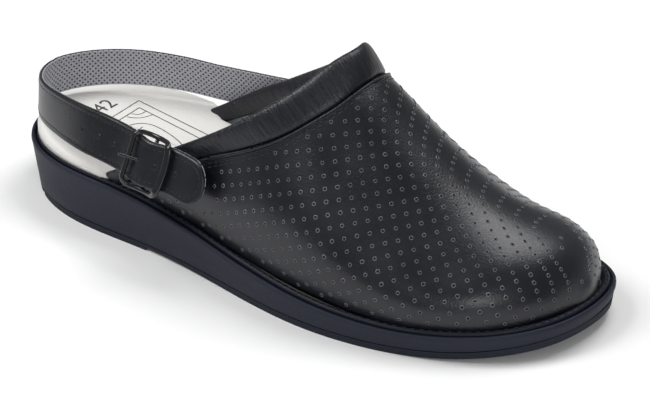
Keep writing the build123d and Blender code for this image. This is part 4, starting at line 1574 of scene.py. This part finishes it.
# ------------------------------------------------------------------ buckle
@dataclass
class Buckle:
    """Black lacquered frame with a bowed toe-side bar, and its prong."""

    centre: tuple[float, float, float] = (100.5, -51.4, 50.6)
    lean: float = 24.0
    slope: float = 5.0
    half_length: float = 9.5
    half_height: float = 12.2
    corner: float = 3.4
    end_bar_v: float = 0.5
    centre_bar_v: float = -3.6
    bow: float = 1.3
    toe_bar: float = 3.5
    rail: float = 2.2

    def place(self, points: np.ndarray) -> np.ndarray:
        """Moves (u, v, w) rows, along the strap, outwards and up the bars, to the maker's axes."""
        lean = Matrix.Rotation(math.radians(-self.lean), 3, "X")
        turn = lean @ Matrix.Rotation(math.radians(self.slope), 3, "Y")
        own = np.column_stack([points[:, 0], -points[:, 1], points[:, 2]])
        return own @ np.array(turn).T + np.array(self.centre)

    def outline(self, count: int = 132) -> np.ndarray:
        """The frame's middle line as (u, w) rows: a rounded rectangle, its toe side bowed."""
        a, b, r = self.half_length, self.half_height, self.corner
        rows = []
        corners = (
            (a - r, b - r, 0), (-a + r, b - r, 90), (-a + r, -b + r, 180), (a - r, -b + r, 270))
        for cu, cw, begin in corners:
            for angle in np.linspace(begin, begin + 90, 9):
                rows.append((cu + r * math.cos(math.radians(angle)), cw + r * math.sin(math.radians(angle))))
        rows = np.array(rows)
        dense = np.vstack([np.linspace(p, q, 14)[:-1] for p, q in zip(rows, np.roll(rows, -1, axis=0))
                           if np.linalg.norm(p - q) > 1e-6])
        run = run_length(np.vstack([dense, dense[:1]]))
        goal = np.linspace(0, run[-1], count + 1)[:-1]
        loop = np.vstack([dense, dense[:1]])
        line = np.stack([np.interp(goal, run, loop[:, k]) for k in range(2)], axis=1)
        line[:, 0] += self.bow * smooth_step(line[:, 0], 0, a) * (1 - (line[:, 1] / b) ** 2)
        return line

    def build(self, finish: Finishes, frame: dict) -> list[bpy.types.Object]:
        """Makes the frame and dresses the prong."""
        line = self.outline()
        count = len(line)
        along = unit(np.roll(line, -1, axis=0) - np.roll(line, 1, axis=0))
        out = np.stack([along[:, 1], -along[:, 0]], axis=1)
        toe = smooth_step(line[:, 0], 5.5, self.half_length + 0.2)
        width = self.rail + (self.toe_bar - self.rail) * toe
        reach = np.clip(np.abs(line[:, 0]) / self.half_length, 0, 1)
        dip = (self.end_bar_v - self.centre_bar_v - 0.5) * (1 - reach**2)
        level = self.end_bar_v - dip * smooth_step(np.abs(line[:, 1]), self.half_height - 4, self.half_height)
        shape = (
            (-0.5, -0.45), (-0.5, 0.35), (-0.36, 0.86), (-0.12, 1.0), (0.16, 1.0), (0.40, 0.72),
            (0.5, 0.2), (0.5, -0.45), (0.38, -0.75), (-0.38, -0.75))
        rings = []
        for wide, thick in shape:
            flat = line + out * (width * wide)[:, None] - out * (toe * 0.5)[:, None]
            rings.append(np.column_stack([flat[:, 0], level + thick * 1.0, flat[:, 1]]))
        points = self.place(np.stack(rings, axis=1).reshape(-1, 3))
        size = len(shape)
        faces = grid_faces(count, size, wrap=True)
        last = (count - 1) * size
        faces += [(last + c, last + (c + 1) % size, (c + 1) % size, c) for c in range(size)]
        ring = make_mesh("buckle_ring", points, faces)
        point_outwards(ring)
        soft = ring.modifiers.new("rounding", "SUBSURF")
        soft.levels = soft.render_levels = 1
        apply_modifiers(ring)
        dress(ring, finish.lacquer)
        reach = np.linspace(-self.half_height + 0.6, self.half_height - 0.6, 12)
        angle = np.linspace(0, 2 * math.pi, 16, endpoint=False)
        bar = [np.column_stack([0.88 * np.cos(angle), self.centre_bar_v + 0.88 * np.sin(angle),
                                np.full(16, w)]) for w in reach]
        faces = grid_faces(len(bar), 16, wrap=True)
        faces += [tuple(range(16))[::-1], tuple(range(16 * (len(bar) - 1), 16 * len(bar)))]
        centre = make_mesh("buckle_centre_bar", self.place(np.vstack(bar)), faces)
        point_outwards(centre)
        dress(centre, finish.lacquer)
        for obj in (ring, centre):
            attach(obj, "buckle")
        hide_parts("buckle_frame")
        dress(frame["nodes"]["buckle_prong"], finish.lacquer)
        return [ring, centre]


# ------------------------------------------------------------------ studio
@dataclass
class Studio:
    """Pale floor, soft light and the camera."""

    azimuth: float = 35.5
    elevation: float = 28.8
    distance: float = 1260.0
    target: tuple[float, float, float] = (158.9, 0.0, 27.9)
    lens: float = 159.7

    def build(self) -> None:
        """Sets up the scene round the clog."""
        scene = bpy.context.scene
        scene.view_settings.view_transform = "Standard"
        a, e = math.radians(self.azimuth), math.radians(self.elevation)
        back = Vector((math.sin(a) * math.cos(e), -math.cos(a) * math.cos(e), math.sin(e)))
        right = Vector((math.cos(a), math.sin(a), 0))
        up = back.cross(right)
        goal = Vector(to_frame(np.array([self.target]))[0])
        camera = bpy.data.objects.new("camera", bpy.data.cameras.new("camera"))
        camera.data.lens = self.lens
        camera.data.sensor_width = 36.0
        camera.data.clip_end = 20.0
        turn = Matrix((right, up, back)).transposed().to_4x4()
        camera.matrix_world = Matrix.Translation(goal + back * self.distance * MM) @ turn
        scene.collection.objects.link(camera)
        scene.camera = camera
        floor = bpy.data.meshes.new("floor")
        floor.from_pydata([(-4, -4, 0), (4, -4, 0), (4, 4, 0), (-4, 4, 0)], [], [(0, 1, 2, 3)])
        floor_obj = bpy.data.objects.new("floor", floor)
        scene.collection.objects.link(floor_obj)
        pale = Shading("floor_paper")
        grain = pale.noise(pale.place(), 60.0)
        floor.materials.append(pale.finish(pale.blend(grain, (0.93, 0.93, 0.93), (0.95, 0.95, 0.95)), 0.9))
        world = bpy.data.worlds.new("studio")
        world.use_nodes = True
        world.node_tree.nodes["Background"].inputs[0].default_value = (1, 1, 1, 1)
        world.node_tree.nodes["Background"].inputs[1].default_value = 0.26
        scene.world = world
        lamps = (
            ("key", (-0.55, -0.45, 1.0), 0.55, 8.0), ("top", (0.15, 0.5, 1.2), 0.7, 8.5),
            ("side", (0.9, -0.9, 0.6), 0.5, 4.0),
        )
        for name, spot, size, power in lamps:
            lamp = bpy.data.lights.new(name, "AREA")
            lamp.size = size
            lamp.energy = power
            obj = bpy.data.objects.new(name, lamp)
            obj.location = spot
            obj.rotation_euler = (Vector((0, 0, 0.03)) - Vector(spot)).to_track_quat("-Z", "Y").to_euler()
            scene.collection.objects.link(obj)


def main() -> None:
    """Builds the clog's looks round its frame, in order."""
    logging.basicConfig(level=logging.INFO, format="%(name)s: %(message)s")
    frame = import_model()
    finish = Finishes()
    sole = Sole()
    for part in (sole, Footbed(sole), Upper(), HeelStrap(), Buckle()):
        for piece in part.build(finish, frame):
            LOG.info("%s: %s, %d faces", type(part).__name__, piece.name, len(piece.data.polygons))
    Studio().build()
    bpy.context.view_layer.update()


if __name__ == "__main__":
    main()
